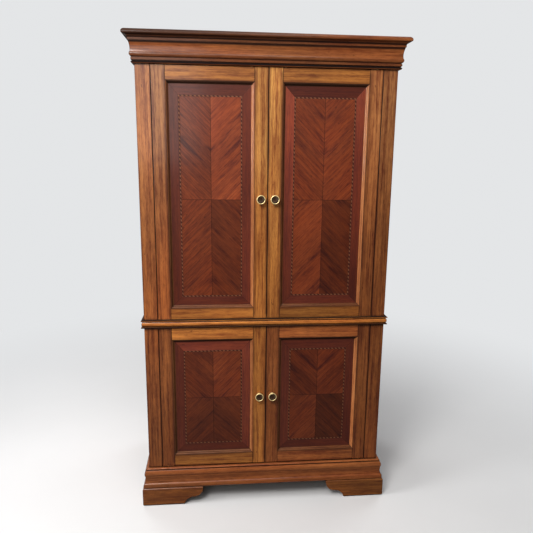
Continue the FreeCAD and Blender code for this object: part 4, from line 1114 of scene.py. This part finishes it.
class ARMOIRE_OT_door_frames(bpy.types.Operator):
    """Finish the stiles and rails of the doors"""

    bl_idname = "armoire.door_frames"
    bl_label = "Door frames"

    def execute(self, context):
        for stage in STAGES:
            hinge_tones, meeting_tones, *rail_tones = BOARD_TONES[stage]
            for i, hand in enumerate(HANDS):
                door = "%s_%s_door" % (stage, hand)
                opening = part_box(door + "_sticking")
                finish_stile(door + "_hinge_stile", "stile", hinge_tones[i], opening, i, edge_share=0.5)
                name = door + "_meeting_stile"
                gap_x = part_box(name)[1 - i].x
                key = "stile" if door == "lower_right_door" else "frame"
                finish_stile(name, key, meeting_tones[i], opening, 1 - i, gap_x)
                finish_rails(door, key, *rail_tones[i])
        return {"FINISHED"}


class ARMOIRE_OT_case_boards(bpy.types.Operator):
    """Finish the sides, the boards inside the cases, the backs and the dust board"""

    bl_idname = "armoire.case_boards"
    bl_label = "Case boards"

    def execute(self, context):
        sides = ["%s_%s_side" % (stage, hand) for stage in STAGES for hand in HANDS]
        finish_boards(sides, "side", "Z", figure=LIVELY_FIGURE)
        boards = ["lower_floor", "lower_top", "upper_deck", "upper_ceiling"]
        boards += ["upper_shelf", "lower_shelf", "door_stops"]
        finish_boards(boards, "interior", "X", glaze=0.3, lacquered=False)
        ply = {"glaze": 0.25, "figure": PLY_FIGURE, "lacquered": False}
        finish_boards(["upper_back", "lower_back"], "back", "Z", **ply)
        finish_boards(["dust_board"], "back", "X", **ply)
        return {"FINISHED"}


class ARMOIRE_OT_mouldings(bpy.types.Operator):
    """Finish the crown, the waist with its two lips darkened by glaze and painted shade, and the base"""

    bl_idname = "armoire.mouldings"
    bl_label = "Crown, waist and base"

    def execute(self, context):
        finish_surround("waist_moulding", "frame", WAIST_GLAZE_AND_SHADE, 1.48, 2.0)
        finish_surround("crown_moulding", "moulding", CROWN_GLAZE_AND_SHADE, 0.98, 1.34)
        finish_surround("base_moulding", "moulding", BASE_GLAZE_AND_SHADE, 1.30, 1.40)
        return {"FINISHED"}


class ARMOIRE_OT_feet(bpy.types.Operator):
    """Finish the four bracket feet"""

    bl_idname = "armoire.feet"
    bl_label = "Bracket feet"

    def execute(self, context):
        for row in ("front", "rear"):
            for hand in HANDS:
                finish_surround("%s_%s_foot" % (row, hand), "foot")
        return {"FINISHED"}


class ARMOIRE_OT_sticking(bpy.types.Operator):
    """Finish the mitred mouldings round the door panels"""

    bl_idname = "armoire.sticking"
    bl_label = "Sticking"

    def execute(self, context):
        for door in DOORS:
            finish_sticking(door + "_sticking")
        return {"FINISHED"}


class ARMOIRE_OT_panels(bpy.types.Operator):
    """Build the inlaid panels of the doors"""

    bl_idname = "armoire.panels"
    bl_label = "Inlaid panels"

    def execute(self, context):
        panel_materials()
        for stage in STAGES:
            left, right = "%s_left_door" % stage, "%s_right_door" % stage
            panel = build_panel(left)
            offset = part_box(right + "_panel")[0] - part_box(left + "_panel")[0]
            twin = copy_shape(panel, right + "_inlaid_panel", offset)
            for shape, door in ((panel, left), (twin, right)):
                paint_panel(shape, door)
                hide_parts(door + "_panel")
                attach(shape, door)
        return {"FINISHED"}


class ARMOIRE_OT_knobs(bpy.types.Operator):
    """Build the brass knobs"""

    bl_idname = "armoire.knobs"
    bl_label = "Knobs"

    def execute(self, context):
        centres = {}
        for door in DOORS:
            low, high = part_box(door + "_knob")
            centres[door] = Vector(((low.x + high.x) / 2, FACE_Y, (low.z + high.z) / 2))
        first = DOORS[0]
        low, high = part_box(first + "_knob")
        radius, reach = (high.x - low.x) / 2, FACE_Y - low.y
        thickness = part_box(first + "_meeting_stile")[1].y - FACE_Y
        master = build_knob(first + "_turned_knob", centres[first], radius, reach, thickness)
        master.data.materials.append(knob_material())
        for door in DOORS:
            shape = master
            if door != first:
                shape = copy_shape(master, door + "_turned_knob", centres[door] - centres[first])
            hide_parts(door + "_knob")
            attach(shape, door)
        return {"FINISHED"}


class ARMOIRE_OT_meeting_slips(bpy.types.Operator):
    """Fill most of the gap between two doors with a slip on the left door's meeting edge, darkened as painted
    shade of the gap
    """

    bl_idname = "armoire.meeting_slips"
    bl_label = "Meeting slips"

    def execute(self, context):
        reach, depth = 0.0018, 0.008
        behind_face, short = 0.008, 0.003
        for stage in STAGES:
            door = stage + "_left_door"
            name = door + "_meeting_slip"
            low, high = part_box(door + "_meeting_stile")
            centre = Vector((high.x + reach / 2, FACE_Y + behind_face + depth / 2, (low.z + high.z) / 2))
            size = (reach, depth, high.z - low.z - 2 * short)
            slip = start_shape(bpy.ops.mesh.primitive_cube_add, name, size=1, location=centre, scale=size)
            bpy.ops.mesh.bevel(offset=reach / 3, segments=2, affect="EDGES")
            finish_turning(slip)
            material, tree, shader = new_material(name + "_timber")
            position = board_position(tree, split(tree, object_point(tree)), "Z", centre, name)
            # Painted shade: the slip's timber is darkened almost to black, as dark as the shade in the gap.
            dress(tree, shader, position, "stile", tone=0.12)
            slip.data.materials.append(material)
            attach(slip, door)
        return {"FINISHED"}


class ARMOIRE_OT_hardware(bpy.types.Operator):
    """Finish the pivots, catches, shelf pins and screws"""

    bl_idname = "armoire.hardware"
    bl_label = "Hardware"

    def execute(self, context):
        brass = metal_material("satin_brass", (0.72, 0.53, 0.24), 0.34)
        for name in sorted(nodes):
            if name.endswith("_leaves") or name in ("pivot_plates", "ball_catches", "shelf_pins"):
                wear(name, brass)
        wear("joining_screws", metal_material("plated_steel", (0.56, 0.56, 0.57), 0.3))
        return {"FINISHED"}


# Colour of the empty background, which the floor fades into.
BACKDROP = (0.97, 0.985, 1.0, 1)


def add_lamp(name, power, size, eye, target, colour=(1, 1, 1)):
    """A soft square light that looks at a point and isn't seen itself."""
    light = bpy.data.lights.new(name, "AREA")
    light.energy, light.size, light.color = power, size, colour
    lamp = bpy.data.objects.new(name, light)
    bpy.context.scene.collection.objects.link(lamp)
    lamp.location = eye
    lamp.rotation_mode = "QUATERNION"
    lamp.rotation_quaternion = (Vector(target) - Vector(eye)).to_track_quat("-Z", "Y")
    lamp.visible_camera = False


def add_floor(settings):
    """A pale floor that fades into the background a few metres away."""
    floor_size, fade_start, fade_end = 60, 0.7, 3.2
    bpy.ops.object.select_all(action="DESELECT")
    bpy.ops.mesh.primitive_plane_add(size=floor_size, location=(0, 0, 0))
    floor = bpy.context.active_object
    floor.name = "floor"
    material, tree, shader = new_material("pale_floor")
    at = object_point(tree)
    distance = place(tree, "ShaderNodeVectorMath", {0: at}, operation="LENGTH").outputs[1]
    seen = place(tree, "ShaderNodeLightPath").outputs["Is Camera Ray"]
    cloud = ramp(tree, noise(tree, at, 1.5, 1.5, 4), 0.3, 0.7, 0.97, 1.0)
    cloud = times(tree, cloud, ramp(tree, seen, 0, 1, settings.bounce, 1.0))
    tree.links.new(shaded(tree, (*settings.floor, 1), cloud), shader.inputs["Base Color"])
    shader.inputs["Roughness"].default_value = 0.6
    fade = times(tree, ramp(tree, distance, fade_start, fade_end), seen)
    glow = place(tree, "ShaderNodeEmission", {"Color": BACKDROP, "Strength": settings.backdrop})
    mixed = place(tree, "ShaderNodeMixShader", {0: fade, 1: shader.outputs[0], 2: glow.outputs[0]})
    output = next(node for node in tree.nodes if node.type == "OUTPUT_MATERIAL")
    tree.links.new(mixed.outputs[0], output.inputs[0])
    floor.data.materials.append(material)


def add_world(scene, settings):
    """Even light from all round, against a plain pale background."""
    world = bpy.data.worlds.new("studio")
    scene.world = world
    world.use_nodes = True
    tree = world.node_tree
    tree.nodes.clear()
    seen = place(tree, "ShaderNodeLightPath").outputs["Is Camera Ray"]
    strength = plus(tree, settings.sky, times(tree, seen, settings.backdrop - settings.sky))
    sky = place(tree, "ShaderNodeBackground", {"Color": BACKDROP, "Strength": strength})
    output = tree.nodes.new("ShaderNodeOutputWorld")
    tree.links.new(sky.outputs[0], output.inputs[0])


class ARMOIRE_OT_stage(bpy.types.Operator):
    """Set up the floor, lights and camera"""

    bl_idname = "armoire.stage"
    bl_label = "Stage"

    def execute(self, context):
        scene = context.scene
        settings = scene.armoire_stage
        add_floor(settings)
        add_world(scene, settings)
        front = Vector((0, FACE_Y, 1.45))
        add_lamp("key", settings.key, 1.0, front + Vector((-1.3, -2.25, 1.65)), front, (1.0, 0.98, 0.95))
        add_lamp("window", settings.window, 1.1, (-2.6, -0.85, 1.95), (-0.2, -0.3, 1.6), (0.98, 0.97, 0.96))
        add_lamp("sheen", settings.sheen, 2.0, (-1.35, -4.0, 2.5), (-0.2, -0.3, 1.7), (1.0, 0.98, 0.94))
        add_lamp("ceiling", settings.ceiling, 2.2, (-0.4, -1.8, 3.8), (0, -0.3, 1.0), (1.0, 0.99, 0.97))
        add_lamp("overhead", settings.overhead, 3.0, (0, 0.6, 4.2), (0, 0.6, 0))
        add_lamp("behind_left", settings.behind, 2.0, (-2.2, 2.8, 2.4), (0, 0.3, 1.1))
        add_lamp("behind_right", settings.behind, 2.0, (2.8, 2.2, 2.4), (0, 0.3, 1.1))

        lens = bpy.data.cameras.new("camera")
        lens.lens, lens.sensor_width = settings.lens, SENSOR_WIDTH
        camera = bpy.data.objects.new("camera", lens)
        scene.collection.objects.link(camera)
        pitch, roll, yaw = settings.turn
        turned = Matrix.Rotation(yaw, 4, "Z") @ Matrix.Rotation(pitch, 4, "X") @ Matrix.Rotation(roll, 4, "Y")
        camera.matrix_world = Matrix.Translation(settings.eye) @ turned @ Matrix.Rotation(math.pi / 2, 4, "X")
        scene.camera = camera
        scene.view_settings.view_transform = "Standard"
        return {"FINISHED"}


class ARMOIRE_PT_sidebar(bpy.types.Panel):
    """Every step of the armoire, in order"""

    bl_idname = "ARMOIRE_PT_sidebar"
    bl_label = "Armoire"
    bl_space_type = "VIEW_3D"
    bl_region_type = "UI"
    bl_category = "Armoire"

    def draw(self, context):
        for step in STEPS:
            self.layout.operator(step.bl_idname)


GROUPS = {
    "armoire_timber": TimberColours,
    "armoire_finish": FinishSettings,
    "armoire_inlay": InlaySettings,
    "armoire_knob": KnobSettings,
    "armoire_stage": StageSettings,
}
STEPS = (
    ARMOIRE_OT_face_frames,
    ARMOIRE_OT_door_frames,
    ARMOIRE_OT_case_boards,
    ARMOIRE_OT_mouldings,
    ARMOIRE_OT_feet,
    ARMOIRE_OT_sticking,
    ARMOIRE_OT_panels,
    ARMOIRE_OT_knobs,
    ARMOIRE_OT_meeting_slips,
    ARMOIRE_OT_hardware,
    ARMOIRE_OT_stage,
)


def register():
    """Make the settings, operators and panel known."""
    for cls in (*GROUPS.values(), *STEPS, ARMOIRE_PT_sidebar):
        bpy.utils.register_class(cls)
    for name, group in GROUPS.items():
        setattr(bpy.types.Scene, name, bpy.props.PointerProperty(type=group))


def unregister():
    """Take them away again."""
    for name in GROUPS:
        delattr(bpy.types.Scene, name)
    for cls in reversed((*GROUPS.values(), *STEPS, ARMOIRE_PT_sidebar)):
        bpy.utils.unregister_class(cls)


def main():
    """Dress the whole armoire."""
    register()
    stained_timber_group()
    for step in STEPS:
        module, name = step.bl_idname.split(".")
        getattr(getattr(bpy.ops, module), name)()


if __name__ == "__main__":
    main()
